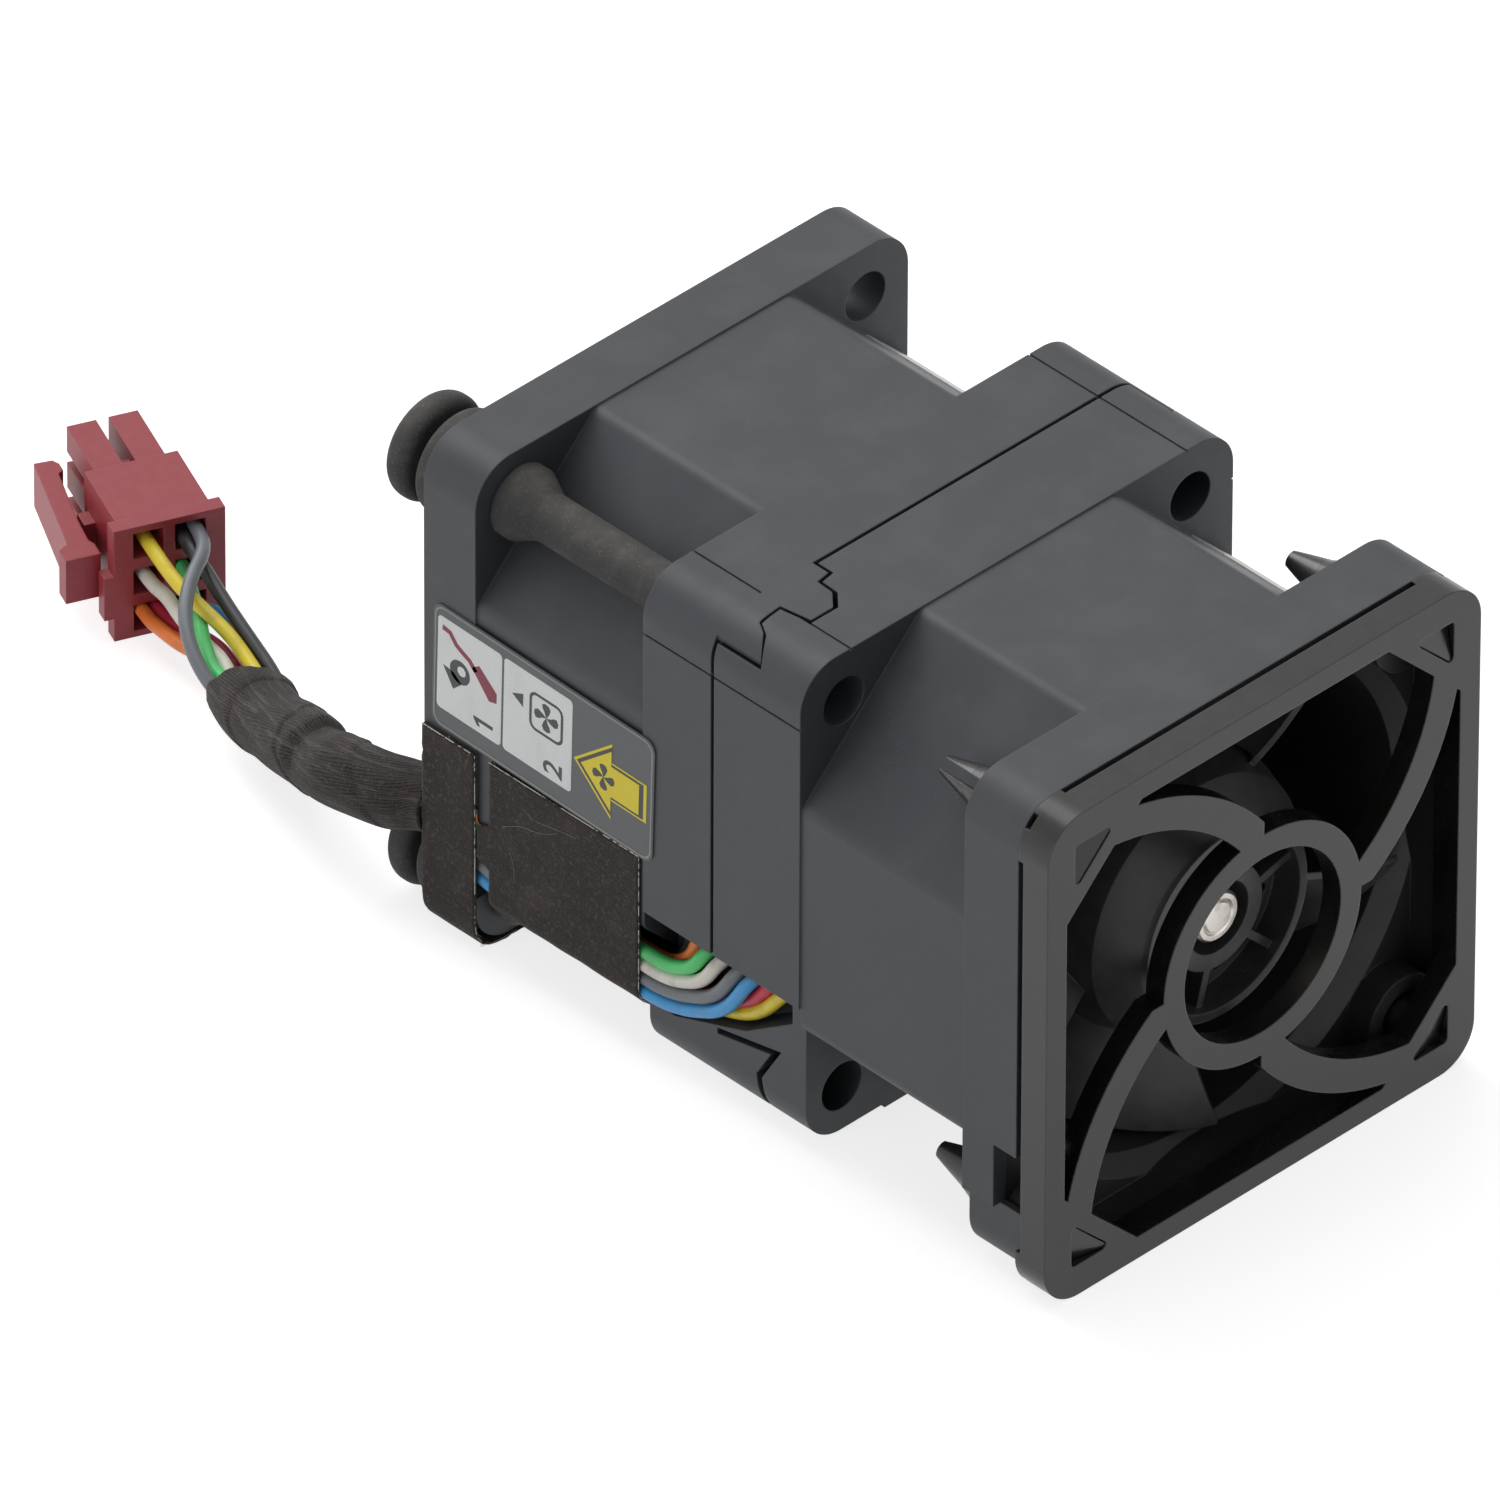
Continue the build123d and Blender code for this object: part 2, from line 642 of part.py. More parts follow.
def stator_sketch(root, tooth, shoe):
    """Lamination outline: a ring, teeth and pole shoes."""
    outline = Circle(root)
    shoes = Circle(STATOR_R) - Circle(STATOR_R - shoe)
    for i in range(TOOTH_COUNT):
        angle = 360 * i / TOOTH_COUNT
        outline += Rot(0, 0, angle) * Pos(STATOR_R / 2, 0) * Rectangle(STATOR_R, tooth)
        shoes -= Rot(0, 0, angle + 180 / TOOTH_COUNT) * Pos(STATOR_R, 0) * Rectangle(STATOR_R, SHOE_SLOT)
    return (outline & Circle(STATOR_R - shoe / 2)) + shoes - Circle(TUBE_R)


def stator_core():
    """Stack of laminations on the bearing tube."""
    return span(stator_sketch(TOOTH_ROOT_R, TOOTH_WIDTH, SHOE_THICKNESS),
                STATOR_START, STATOR_START + STATOR_LENGTH, REAR)


def stator_insulator():
    """Plastic end caps on both faces of the stack."""
    caps = []
    wall = INSULATOR_WALL
    shape = stator_sketch(TOOTH_ROOT_R, TOOTH_WIDTH, SHOE_THICKNESS)
    for low in (STATOR_START - wall, STATOR_START + STATOR_LENGTH):
        caps.append(span(shape, low, low + wall, REAR))
    return Compound(caps)


def windings():
    """One coil round each tooth."""
    wall = INSULATOR_WALL
    inner_r = TOOTH_ROOT_R + 0.15
    outer_r = STATOR_R - SHOE_THICKNESS - 0.1
    low = STATOR_START - wall
    high = STATOR_START + STATOR_LENGTH + wall
    middle = (low + high) / 2
    half_z = TOOTH_WIDTH / 2
    side_wall = COIL_WALL * 0.55
    outer = Rectangle(2 * (half_z + side_wall), high - low + 2 * COIL_WALL)
    outer = fillet(outer.vertices(), 0.55)
    hole = Rectangle(2 * half_z + 0.04, high - low + 0.04)
    coil = Pos(inner_r, middle, 0) * extrude(Plane.YZ * Rot(0, 0, 90) * (outer - hole), outer_r - inner_r)
    coil &= disc(outer_r, low - 2 * COIL_WALL, high + 2 * COIL_WALL, REAR)
    return Compound([Rot(0, 360 * i / TOOTH_COUNT, 0) * coil for i in range(TOOTH_COUNT)])


def circuit_board():
    """Ring-shaped motor board in the base."""
    end = BOARD_START + BOARD_THICKNESS
    board = ring(BOARD_R, TUBE_R + 0.15, BOARD_START, end, REAR)
    half = LEAD_WINDOW / 2
    cut = box_between(-BOARD_R - 1, -LEAD_START_R - 0.1, BOARD_START - 1, end + 1, -half, half)
    return board - Rot(0, -LEAD_ANGLE, 0) * cut


def board_components():
    """Driver chip, resistors and capacitors on the board."""
    top = BOARD_START + BOARD_THICKNESS
    parts = [box_between(5.0, 8.0, top, top + 0.9, -1.5, 1.5)]
    for angle in (70, 95, 120, 200, 225, 300):
        parts.append(Rot(0, angle, 0) * box_between(5.6, 7.0, top, top + 0.5, -0.4, 0.4))
    return Compound(parts)


# Finger guard

def spoke():
    """Curved spoke from the rotor ring to the upper right corner."""
    band = Circle(SPOKE_ARC_R + SPOKE_WIDTH / 2) - Circle(SPOKE_ARC_R - SPOKE_WIDTH / 2)
    band = Pos(SPOKE_ARC_X, SPOKE_ARC_Z) * band
    window = Pos(GUARD_RING_R - GUARD_RING_WIDTH / 2, 0) * Rectangle(
        SQUARE, SQUARE / 2 - 1, align=(Align.MIN, Align.MIN))
    inside = Rectangle(SQUARE - GUARD_RIM, SQUARE - GUARD_RIM)
    return band & window & inside


def gusset():
    """Triangle that fills the upper right corner of the guard."""
    edge = SQUARE / 2 - GUARD_RIM + 0.2
    leg = GUSSET_LEG + 0.2
    return make_face(Polyline((edge, edge), (edge - leg, edge), (edge, edge - leg), close=True))


def gusset_recess():
    """Shallow three-sided recess in front of each snap pin."""
    edge = SQUARE / 2 - GUARD_RIM - 0.7
    leg = GUSSET_RECESS_LEG
    shape = make_face(Polyline((edge, edge), (edge - leg, edge), (edge, edge - leg), close=True))
    return fillet(shape.vertices(), 0.35)


def snap_pin():
    """Split pin that snaps through the inlet flange, drawn on its own axis along Y."""
    root = GUARD_FACE + 0.8
    flange_rear = FRONT_FACE + FRONT_END_FLANGE
    tip = flange_rear + PIN_REACH
    barb = PIN_R + PIN_BARB
    pin = revolve(make_face(Polyline(
        (0, root), (PIN_R, root), (PIN_R, flange_rear + PIN_GAP), (barb, flange_rear + PIN_GAP + PIN_BARB_RISE),
        (barb, flange_rear + PIN_GAP + PIN_BARB_END), (PIN_R - 0.2, flange_rear + PIN_REACH / 2),
        (PIN_TIP_R, tip), (0, tip), close=True)), Axis.Y)
    slot_start = FRONT_FACE + PIN_SLOT_START
    slot = box_between(-PIN_SLOT / 2, PIN_SLOT / 2, slot_start, tip + 1, -3, 3)
    return pin - Rot(0, 45, 0) * slot


def guard():
    """Inlet grille in one moulding with its pins."""
    rim_sketch = RectangleRounded(SQUARE, SQUARE, CORNER_R)
    opening = SQUARE - 2 * GUARD_RIM
    grille = Circle(GUARD_RING_R) - Circle(GUARD_RING_R - GUARD_RING_WIDTH)
    for i in range(4):
        grille += Rot(0, 0, 90 * i) * spoke()
        grille += Rot(0, 0, 90 * i) * gusset()
    back = GUARD_FACE + GUARD_DEPTH
    rim = span(rim_sketch - Rectangle(opening, opening), -back, -GUARD_FACE, FRONT)
    web = span(grille - (Rectangle(2 * SQUARE, 2 * SQUARE) - Rectangle(opening + 0.6, opening + 0.6)),
               -GUARD_FACE - GUARD_GRILLE_DEPTH, -GUARD_FACE, FRONT)
    body = rim + web
    lip = SQUARE / 2 - GUARD_RIM / 2
    for x in (-GUARD_PAD_AT, GUARD_PAD_AT):
        pad = box_between(x - GUARD_PAD_WIDTH / 2, x + GUARD_PAD_WIDTH / 2, back, FRONT_FACE, lip, SQUARE / 2)
        body += [p & span(rim_sketch, -FRONT_FACE, -back, FRONT) for p in quarter_turns(pad)]
    for i in range(4):
        recess = Rot(0, 0, 90 * i) * gusset_recess()
        body -= span(recess, -GUARD_FACE - GUSSET_RECESS_DEPTH, -GUARD_FACE + 1, FRONT)
    for x, z in corners():
        turn = 0 if x * z > 0 else 90
        body += Pos(x, 0, z) * Rot(0, turn, 0) * snap_pin()
    return body


# Isolators

def plate_rim(body, height):
    """The outer edge of the isolator's plate on its outer side."""
    circles = body.edges().filter_by(GeomType.CIRCLE)
    return circles.filter_by(lambda e: abs(e.radius - PLATE_R) < 0.01 and abs(e.arc_center.Y - height) < 0.01)


def isolator():
    """Rubber mount pulled through a flange hole, drawn on its own axis along Y."""
    inner = REAR_FACE - REAR_END_FLANGE
    plate = REAR_FACE + PLATE_THICKNESS
    groove = plate + GROOVE_WIDTH
    head = groove + HEAD_THICKNESS
    bulb = inner - BULB_LENGTH
    start = REAR_MID_FLANGE + TAIL_GAP
    outline = [
        (0, start), (TAIL_R, start), (TAIL_R, bulb), (BULB_R, inner - 1.0), (BULB_R, inner - 0.05),
        (NECK_R, inner - 0.05), (NECK_R, REAR_FACE + 0.02), (PLATE_R, REAR_FACE + 0.02), (PLATE_R, plate),
        (GROOVE_R, plate), (GROOVE_R, groove), (HEAD_R, groove), (HEAD_R, head), (0, head)]
    body = revolve(make_face(Polyline(*outline, close=True)), Axis.Y)
    rims = body.edges().filter_by(GeomType.CIRCLE).filter_by(lambda edge: edge.radius > PLATE_R - 0.01)
    body = fillet(rims.filter_by(lambda edge: edge.arc_center.Y > groove - 0.01), HEAD_ROUND)
    body = fillet(plate_rim(body, plate), PLATE_ROUND)
    slit = box_between(-BULB_SLIT / 2, BULB_SLIT / 2, bulb, inner - 0.5, 0.6, BULB_R + 1)
    body -= Rot(0, 20, 0) * slit
    wall = HOLE_AT * math.sqrt(2) - POCKET_DISTANCE - WALL_GAP
    return body - box_between(wall, BULB_R + 1, start, inner, -BULB_R, BULB_R)


# Stickers, labels and tape

def mitred(points, thickness):
    """The points moved sideways by the thickness, to the right of the direction of travel."""
    moved = []
    for i, (x, z) in enumerate(points):
        normals = []
        for a, b in ((i - 1, i), (i, i + 1)):
            if a < 0 or b >= len(points):
                continue
            dx = points[b][0] - points[a][0]
            dz = points[b][1] - points[a][1]
            long = math.hypot(dx, dz)
            normals.append((dz / long, -dx / long))
        nx = sum(n[0] for n in normals)
        nz = sum(n[1] for n in normals)
        scale = thickness * len(normals) / (nx * nx + nz * nz)
        moved.append((x + nx * scale, z + nz * scale))
    return moved


def strip(points, thickness, radii):
    """Cross-section of thin sheet laid along a path, with its bends rounded."""
    outer = mitred(points, thickness)
    near = FilletPolyline(*points, radius=radii)
    far = FilletPolyline(*outer, radius=[r + thickness for r in radii])
    ends = Line(points[0], outer[0]) + Line(points[-1], outer[-1])
    return make_face([near, far, ends])


def pictogram_sticker():
    """Thin sheet on the left face, over the rear fan."""
    sheet = fillet(Rectangle(STICKER_WIDTH, STICKER_HEIGHT).vertices(), STICKER_R)
    sheet = extrude(Plane.YZ * Rot(0, 0, STICKER_TILT) * sheet, STICKER_THICKNESS)
    return Pos(-SQUARE / 2 - STICKER_THICKNESS, STICKER_MIDDLE_Y, STICKER_MIDDLE_Z) * sheet


def side_label(y0, y1):
    """Blank label on the right face that turns up onto the pocket wall."""
    face = SQUARE / 2 - BODY_STEP
    knee = POCKET_DISTANCE * math.sqrt(2) - face
    drop = knee - LABEL_DROP
    wrap = LABEL_WRAP
    path = [(face, drop), (face, knee), (face - wrap, knee + wrap)]
    sheet = extrude(Plane.XZ * strip(path, LABEL_THICKNESS, [POCKET_EDGE_R]), y1 - y0)
    return lifted(Pos(0, y1, 0) * sheet)


def pocket_tape():
    """Cloth tape from the left face round the leads and the isolator to the lower left pocket wall."""
    gap = WALL_GAP
    left = OUTER_LANE + WIRE_R + gap / 2
    base = AXIS_Z - HOLE_AT - TAIL_R - gap
    wall = POCKET_DISTANCE * math.sqrt(2) + gap - AXIS_Z
    path = [(-left, TAPE_TOP), (-left, TAPE_CORNER), (-TAPE_HEEL, base), (-wall - base, base),
            (-wall - TAPE_END, TAPE_END)]
    section = strip(path, TAPE_THICKNESS, [0.6, 1.8, 0.5])
    sheet = Pos(0, POCKET_TAPE_END, 0) * extrude(Plane.XZ * section, POCKET_TAPE_END - POCKET_TAPE_START)
    return sheet - box_between(-TAPE_TOE, 0, POCKET_TAPE_TOE, REAR_LENGTH, 0, AXIS_Z)


def flange_tape():
    """Cloth tape round the left edge of the outlet flange."""
    gap = FLANGE_TAPE_GAP
    left = SQUARE / 2 + gap
    base = RELIEF_BASE - gap
    path = [(-left, TAPE_TOP), (-left, base), (-SQUARE / 2 + RELIEF_WIDTH - 1, base)]
    start = REAR_FACE - REAR_END_FLANGE - TAPE_OVERHANG
    end = REAR_FACE
    return Pos(0, end, 0) * extrude(Plane.XZ * strip(path, TAPE_THICKNESS, [CORNER_R + gap]), end - start)


# Leads

def route_radii(points):
    """Largest arc that the two runs at each corner leave room for."""
    radii = []
    for a, b, c in zip(points, points[1:], points[2:]):
        first = Vector(*b) - Vector(*a)
        second = Vector(*c) - Vector(*b)
        half = math.radians(first.get_angle(second)) / 2
        radii.append(0.45 * min(first.length, second.length) / math.tan(half))
    return radii


def tube(points, radius, name):
    """Round tube along straight runs joined by arcs."""
    radii = route_radii(points)
    path = FilletPolyline(*points, radius=radii)
    print(name, "radii", [round(r, 1) for r in radii], "length", round(path.length, 2))
    profile = Plane(path @ 0, z_dir=path % 0) * Circle(radius)
    solid = sweep(profile, path=path)
    swept = math.pi * radius ** 2 * path.length
    print(name, "volume over section times length", round(solid.volume / swept, 4))
    return solid


SLEEVE_ROUTE = [
    (-20.05, REAR_FACE + 0.4, 9.75),
    (-20.2, 30.9, 9.4),
    (-19.9, 35.9, 7.9),
    (-17.9, 41.0, 6.0),
    (-15.9, 46.7, 4.0),
    (-14.3, 49.8, 3.4),
]

# Each lead: fan, rank at its motor, where it leaves the slot along Y, how far it runs as it falls,
# its lane and height in the pocket, its height at the pocket's rear, and its height at the sleeve.
LEADS = {
    "yellow": (FRONT, 3, -5.8, 1.6, MIDDLE_LANE, 5.6, 6.47, 8.15),
    "red": (FRONT, 2, -4.5, 1.6, MIDDLE_LANE, 6.68, 7.52, 9.25),
    "blue": (FRONT, 1, -3.2, 1.15, OUTER_LANE, 5.3, 6.0, 7.75),
    "grey": (FRONT, 0, -1.95, 1.2, OUTER_LANE, 6.4, 7.1, 8.85),
    "white": (REAR, 0, -0.3, 1.15, OUTER_LANE, 7.5, 8.2, 9.95),
    "green": (REAR, 1, 1.05, 1.15, OUTER_LANE, 8.6, 9.3, 11.05),
    "orange": (REAR, 2, 2.4, 0.8, MIDDLE_LANE, 7.75, 8.57, 10.35),
    "black": (REAR, 3, 3.7, 0.5, INNER_LANE, 6.9, 7.1, 9.3),
}

# Each free end: place in the end of the sleeve (right, up), bow of its middle (right, up), its
# cavity (column, row) and its offset in the cavity.
FREE_ENDS = {
    "grey": dict(start=(-1.95, 0.25), mid=(-1.0, 1.45), cavity=(1, 2), shift=-0.55),
    "green": dict(start=(-1.05, 1.15), mid=(0.2, 1.6), cavity=(1, 1), shift=0.0),
    "orange": dict(start=(-0.9, -0.25), mid=(-2.3, -1.3), cavity=(-1, 0), shift=-0.55),
    "white": dict(start=(-0.1, -1.3), mid=(-0.4, 0.4), cavity=(-1, 1), shift=0.0),
    "red": dict(start=(0.15, 0.85), mid=(1.1, -0.6), cavity=(-1, 0), shift=0.55),
    "yellow": dict(start=(1.2, 1.35), mid=(-0.7, 3.2), cavity=(-1, 2), shift=0.0),
    "black": dict(start=(1.95, 0.2), mid=(1.9, 1.3), cavity=(1, 2), shift=0.55),
    "blue": dict(start=(0.75, -0.35), mid=(2.2, -1.2), cavity=(1, 0), shift=0.0),
}


def held_route(side, rank, exit, reach, lane, low, high, top):
    """A lead from its motor board through the slot and the pocket to the sleeve."""
    turn = math.radians(LEAD_ANGLE)
    across = LEAD_SPREAD * (1.5 - rank)
    inward = 0.7 * across
    level = side * (LEAD_LEVEL + LEAD_STEP + LEAD_RANK_STEP * (rank - 1.5))
    slot = LEAD_NOTCH_TOP - LEAD_SLOT_HEIGHT / 2
    edge = slot - 0.25
    fall = edge - low
    bend = 0.75 * lane + 0.25 * MIDDLE_LANE
    start = exit + 0.3
    return [
        (-LEAD_START_R * math.cos(turn) + across * math.sin(turn), side * LEAD_LEVEL,
         AXIS_Z - LEAD_START_R * math.sin(turn) - across * math.cos(turn)),
        (-LEAD_TURN_R * math.cos(turn) + inward * math.sin(turn), level,
         AXIS_Z - LEAD_TURN_R * math.sin(turn) - inward * math.cos(turn)),
        (-LEAD_NOTCH_FLOOR, exit, slot + 0.15),
        (-bend, start, edge),
        (-lane, start + 0.3 * reach * fall, edge - 0.6 * fall),
        (-lane, start + reach * fall, low),
        (-lane, LANE_RISE, low),
        (-lane, REAR_FACE - REAR_END_FLANGE, high),
        (-lane, SLEEVE_ROUTE[0][1], top),
    ]


# Connector

def plug_place(shape):
    """Moves a piece drawn at the connector's wire face to where the connector lies."""
    return Pos(PLUG_X, PLUG_Y, 0) * Rot(0, 0, PLUG_TURN) * shape


def plug_point(x, y, z):
    """A point of the connector in the frame of the fan."""
    turn = math.radians(PLUG_TURN)
    return (PLUG_X + x * math.cos(turn) - y * math.sin(turn),
            PLUG_Y + x * math.sin(turn) + y * math.cos(turn), z)


def cavities():
    """Centres of the six cavities on the wire face: column -1 or 1, row 0 to 2."""
    middle = COLLAR_HEIGHT / 2
    return {(c, r): (c * CAVITY_PITCH / 2, middle + (r - 1) * CAVITY_PITCH) for c in (-1, 1) for r in range(3)}


def connector_housing():
    """Moulded housing with a collar, six square silos and the fulcrum of its latch."""
    middle = COLLAR_HEIGHT / 2
    low = middle - PLUG_HEIGHT / 2
    body = box_between(-COLLAR_WIDTH / 2, COLLAR_WIDTH / 2, 0, COLLAR_DEPTH, 0, COLLAR_HEIGHT)
    body += box_between(-PLUG_WIDTH / 2, PLUG_WIDTH / 2, 0.2, PLUG_BODY_END, low, low + PLUG_HEIGHT)
    half = SILO_WIDTH / 2
    for x, z in cavities().values():
        body += box_between(x - half, x + half, PLUG_BODY_END - 1, PLUG_END, z - half, z + half)
    bead = 0.25
    body += box_between(-half - CAVITY_PITCH / 2, half + CAVITY_PITCH / 2, PLUG_BODY_END - 1,
                        PLUG_BODY_END + 1.6, middle - CAVITY_PITCH - bead, middle + CAVITY_PITCH + bead)
    for x, z in cavities().values():
        wide = CAVITY_SIZE / 2
        thin = CAVITY_EXIT / 2
        body -= box_between(x - wide, x + wide, -1, TERMINAL_END + 0.3, z - wide * 0.98, z + wide * 0.98)
        body -= box_between(x - thin, x + thin, 1, PLUG_END + 1, z - thin, z + thin)
    post = -PLUG_WIDTH / 2 - FULCRUM_POST
    body += box_between(post, -PLUG_WIDTH / 2 + 0.2, FULCRUM_Y - 0.7, FULCRUM_Y + 0.7,
                        middle - LATCH_HEIGHT / 2 + 0.3, middle + LATCH_HEIGHT / 2 - 0.3)
    guard_bar = box_between(-COLLAR_WIDTH / 2 - 0.7, -COLLAR_WIDTH / 2 + 0.2, 0, 1.1, 1.9, 5.4)
    return plug_place(body + guard_bar)


def latch_outline():
    """Latch seen from above: thumb pad, sloping arm and hook."""
    inner = -PLUG_WIDTH / 2 - FULCRUM_POST - LATCH_GAP
    t = LATCH_THICKNESS
    return make_face(Polyline(
        (inner - 2.4, 1.6), (inner + 0.1, 1.6), (inner + 0.1, 2.8), (inner - 0.15, 3.3), (inner, FULCRUM_Y),
        (inner + 0.6, 11.0), (inner + 1.0, 11.2), (inner + 1.0, 12.0), (inner + 0.7, 12.5),
        (inner + 0.75 - t, 12.6), (inner - t, FULCRUM_Y), (inner - t - 0.3, 3.4), (inner - 2.4, 2.9), close=True))


def connector_latch():
    """Rocking latch beside the housing."""
    low = COLLAR_HEIGHT / 2 - LATCH_HEIGHT / 2
    return plug_place(Pos(0, 0, low) * extrude(latch_outline(), LATCH_HEIGHT))


def terminals():
    """Crimp terminals in the cavities."""
    solids = []
    half = CAVITY_SIZE / 2 - 0.12
    for x, z in cavities().values():
        contact = box_between(x - half, x + half, TERMINAL_START, TERMINAL_END, z - half * 0.8, z + half * 0.8)
        contact -= box_between(x - half + 0.2, x + half - 0.2, TERMINAL_START + 1.2, TERMINAL_END + 1,
                               z - half * 0.8 + 0.2, z + half * 0.8 - 0.2)
        solids.append(plug_place(contact))
    return Compound(solids)


def free_route(name):
    """A lead from the end of the sleeve into its cavity."""
    end = FREE_ENDS[name]
    ax = Vector(*SLEEVE_ROUTE[-1]) - Vector(*SLEEVE_ROUTE[-2])
    ahead = ax.normalized()
    right = ahead.cross(Vector(0, 0, 1)).normalized()
    up = right.cross(ahead)
    u, v = end["start"]
    start = Vector(*SLEEVE_ROUTE[-1]) + right * u + up * v
    near = start + ahead * 2.0
    x, z = cavities()[end["cavity"]]
    x += end["shift"]
    mouth = plug_point(x, -0.6, z)
    a = plug_point(0, 0, COLLAR_HEIGHT / 2)
    half_way = (Vector(*SLEEVE_ROUTE[-1]) + Vector(*a)) * 0.5
    mid = half_way + right * end["mid"][0] + Vector(0, 0, 1) * end["mid"][1]
    deep = plug_point(x, TERMINAL_START, z)
    return [tuple(start), tuple(near), tuple(mid), mouth, deep]


# Writing the nodes

def build():
    """Builds every node and writes it."""
    save("front_housing", front_housing())
    save("rear_housing", rear_housing())
    save("finger_guard", lifted(guard()))
    for side, name, length, blades, phase in (
            (FRONT, "front", FRONT_LENGTH, FRONT_BLADES, FRONT_PHASE),
            (REAR, "rear", REAR_LENGTH, REAR_BLADES, REAR_PHASE)):
        pieces = {
            "impeller": impeller(length, blades, side * BLADE_CAMBER, phase),
            "rotor_yoke": rotor_yoke(length),
            "magnet_ring": magnet_ring(),
            "shaft": rotor_shaft(length),
            "hub_bush": hub_bush(length),
            "retaining_ring": retaining_ring(),
            "bearings": bearings(),
            "bearing_spacer": bearing_spacer(),
            "preload_washer": preload_washer(),
            "stator_core": stator_core(),
            "stator_insulator": stator_insulator(),
            "windings": windings(),
            "circuit_board": circuit_board(),
            "board_components": board_components(),
        }
        for piece, shape in pieces.items():
            if side == FRONT:
                shape = mirror(shape, Plane.XZ)
            save(f"{name}_{piece}", lifted(shape))
    for name, z, turn in (("top", HOLE_AT, 45), ("bottom", -HOLE_AT, -45)):
        save(f"isolator_{name}_left", lifted(Pos(-HOLE_AT, 0, z) * Rot(0, turn, 0) * isolator()))
    save("pictogram_sticker", pictogram_sticker())
    margin = LABEL_MARGIN
    save("front_side_label", side_label(FRONT_FACE + FRONT_END_FLANGE + margin, -FRONT_MID_FLANGE - margin))
    save("rear_side_label", side_label(REAR_MID_FLANGE + margin, REAR_FACE - REAR_END_FLANGE - margin))
    save("pocket_tape", pocket_tape())
    save("flange_tape", flange_tape())
    save("harness_sleeve", tube(SLEEVE_ROUTE, SLEEVE_R, "sleeve"))
    for name, lead in LEADS.items():
        held = tube(held_route(*lead), WIRE_R, name + " held")
        free = tube(free_route(name), WIRE_R, name + " free")
        save(f"lead_{name}_held", held)
        save(f"lead_{name}_free", free)
    save("connector_housing", connector_housing())
    save("connector_latch", connector_latch())
    save("connector_terminals", terminals())


build()
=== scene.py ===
# %% [markdown]
# # Two small fans in one square tunnel
# The object is a cooling fan module for a shelf of computers: a front fan and a rear fan that turn
# against each other, a finger guard, two rubber isolators, a cloth-sleeved cable and a red connector.
# Every solid part comes ready made from the CAD frame, in metres. What Blender adds is all that a
# CAD solid can't show: woven cloth, frayed threads, dust, print, soft wires and light.

# %% The frame
import json
import math
import random

import bpy
from mathutils import Matrix, Quaternion, Vector, noise


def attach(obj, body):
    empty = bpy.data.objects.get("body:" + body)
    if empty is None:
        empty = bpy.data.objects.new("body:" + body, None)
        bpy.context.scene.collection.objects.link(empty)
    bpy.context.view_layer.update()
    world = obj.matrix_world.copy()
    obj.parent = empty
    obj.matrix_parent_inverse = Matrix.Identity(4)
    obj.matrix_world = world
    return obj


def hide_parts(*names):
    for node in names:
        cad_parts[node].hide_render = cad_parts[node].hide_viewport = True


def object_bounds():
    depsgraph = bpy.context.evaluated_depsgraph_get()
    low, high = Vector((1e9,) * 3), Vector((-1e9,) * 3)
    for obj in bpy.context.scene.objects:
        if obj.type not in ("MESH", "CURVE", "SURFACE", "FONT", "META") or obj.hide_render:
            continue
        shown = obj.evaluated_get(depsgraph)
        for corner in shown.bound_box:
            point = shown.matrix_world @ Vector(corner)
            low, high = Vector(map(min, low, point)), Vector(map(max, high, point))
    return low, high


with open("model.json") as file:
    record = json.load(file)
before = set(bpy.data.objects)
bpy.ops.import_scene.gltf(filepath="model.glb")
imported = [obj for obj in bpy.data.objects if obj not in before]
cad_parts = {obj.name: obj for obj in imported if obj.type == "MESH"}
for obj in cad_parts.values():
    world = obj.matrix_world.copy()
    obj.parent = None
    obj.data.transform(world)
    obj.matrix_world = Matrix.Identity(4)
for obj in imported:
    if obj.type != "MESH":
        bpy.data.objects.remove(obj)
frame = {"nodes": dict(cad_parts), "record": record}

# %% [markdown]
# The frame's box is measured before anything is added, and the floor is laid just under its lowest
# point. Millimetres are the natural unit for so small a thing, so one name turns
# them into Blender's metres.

CAD_BOX = [list(corner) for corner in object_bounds()]
MM = 0.001
MIDDLE_Z = 20 * MM
print("CAD box in mm", [[round(x / MM, 1) for x in corner] for corner in CAD_BOX])

# %% [markdown]
# ## Camera
# The module is seen from the inlet's left, from above, through a very long lens, so that its
# edges stay almost parallel. Angles, distance and target say that more plainly than a matrix
# would, and the small roll is that of the hand that held the camera.

# %% The camera
CAMERA_AZIMUTH = math.radians(-44.37)
CAMERA_ELEVATION = math.radians(37.43)
CAMERA_ROLL = math.radians(0.2)
CAMERA_DISTANCE = 2.7
CAMERA_LENS = 968.4
CAMERA_TARGET = Vector((7.3, 24.2, 1.6)) * MM


def link(thing):
    """Puts a new object in the scene."""
    bpy.context.scene.collection.objects.link(thing)
    return thing


def aimed_camera():
    """A camera on its sphere round the target, with its roll."""
    level = math.cos(CAMERA_ELEVATION)
    back = Vector((math.sin(CAMERA_AZIMUTH) * level, -math.cos(CAMERA_AZIMUTH) * level,
                   math.sin(CAMERA_ELEVATION)))
    camera = link(bpy.data.objects.new("camera", bpy.data.cameras.new("camera")))
    camera.data.lens = CAMERA_LENS
    camera.data.clip_end = 4 * CAMERA_DISTANCE
    camera.location = CAMERA_TARGET + back * CAMERA_DISTANCE
    camera.rotation_mode = "QUATERNION"
    camera.rotation_quaternion = (-back).to_track_quat("-Z", "Y") @ Quaternion((0, 0, 1), CAMERA_ROLL)
    return camera


bpy.context.scene.camera = aimed_camera()
print("camera at", [round(x, 3) for x in bpy.context.scene.camera.location])

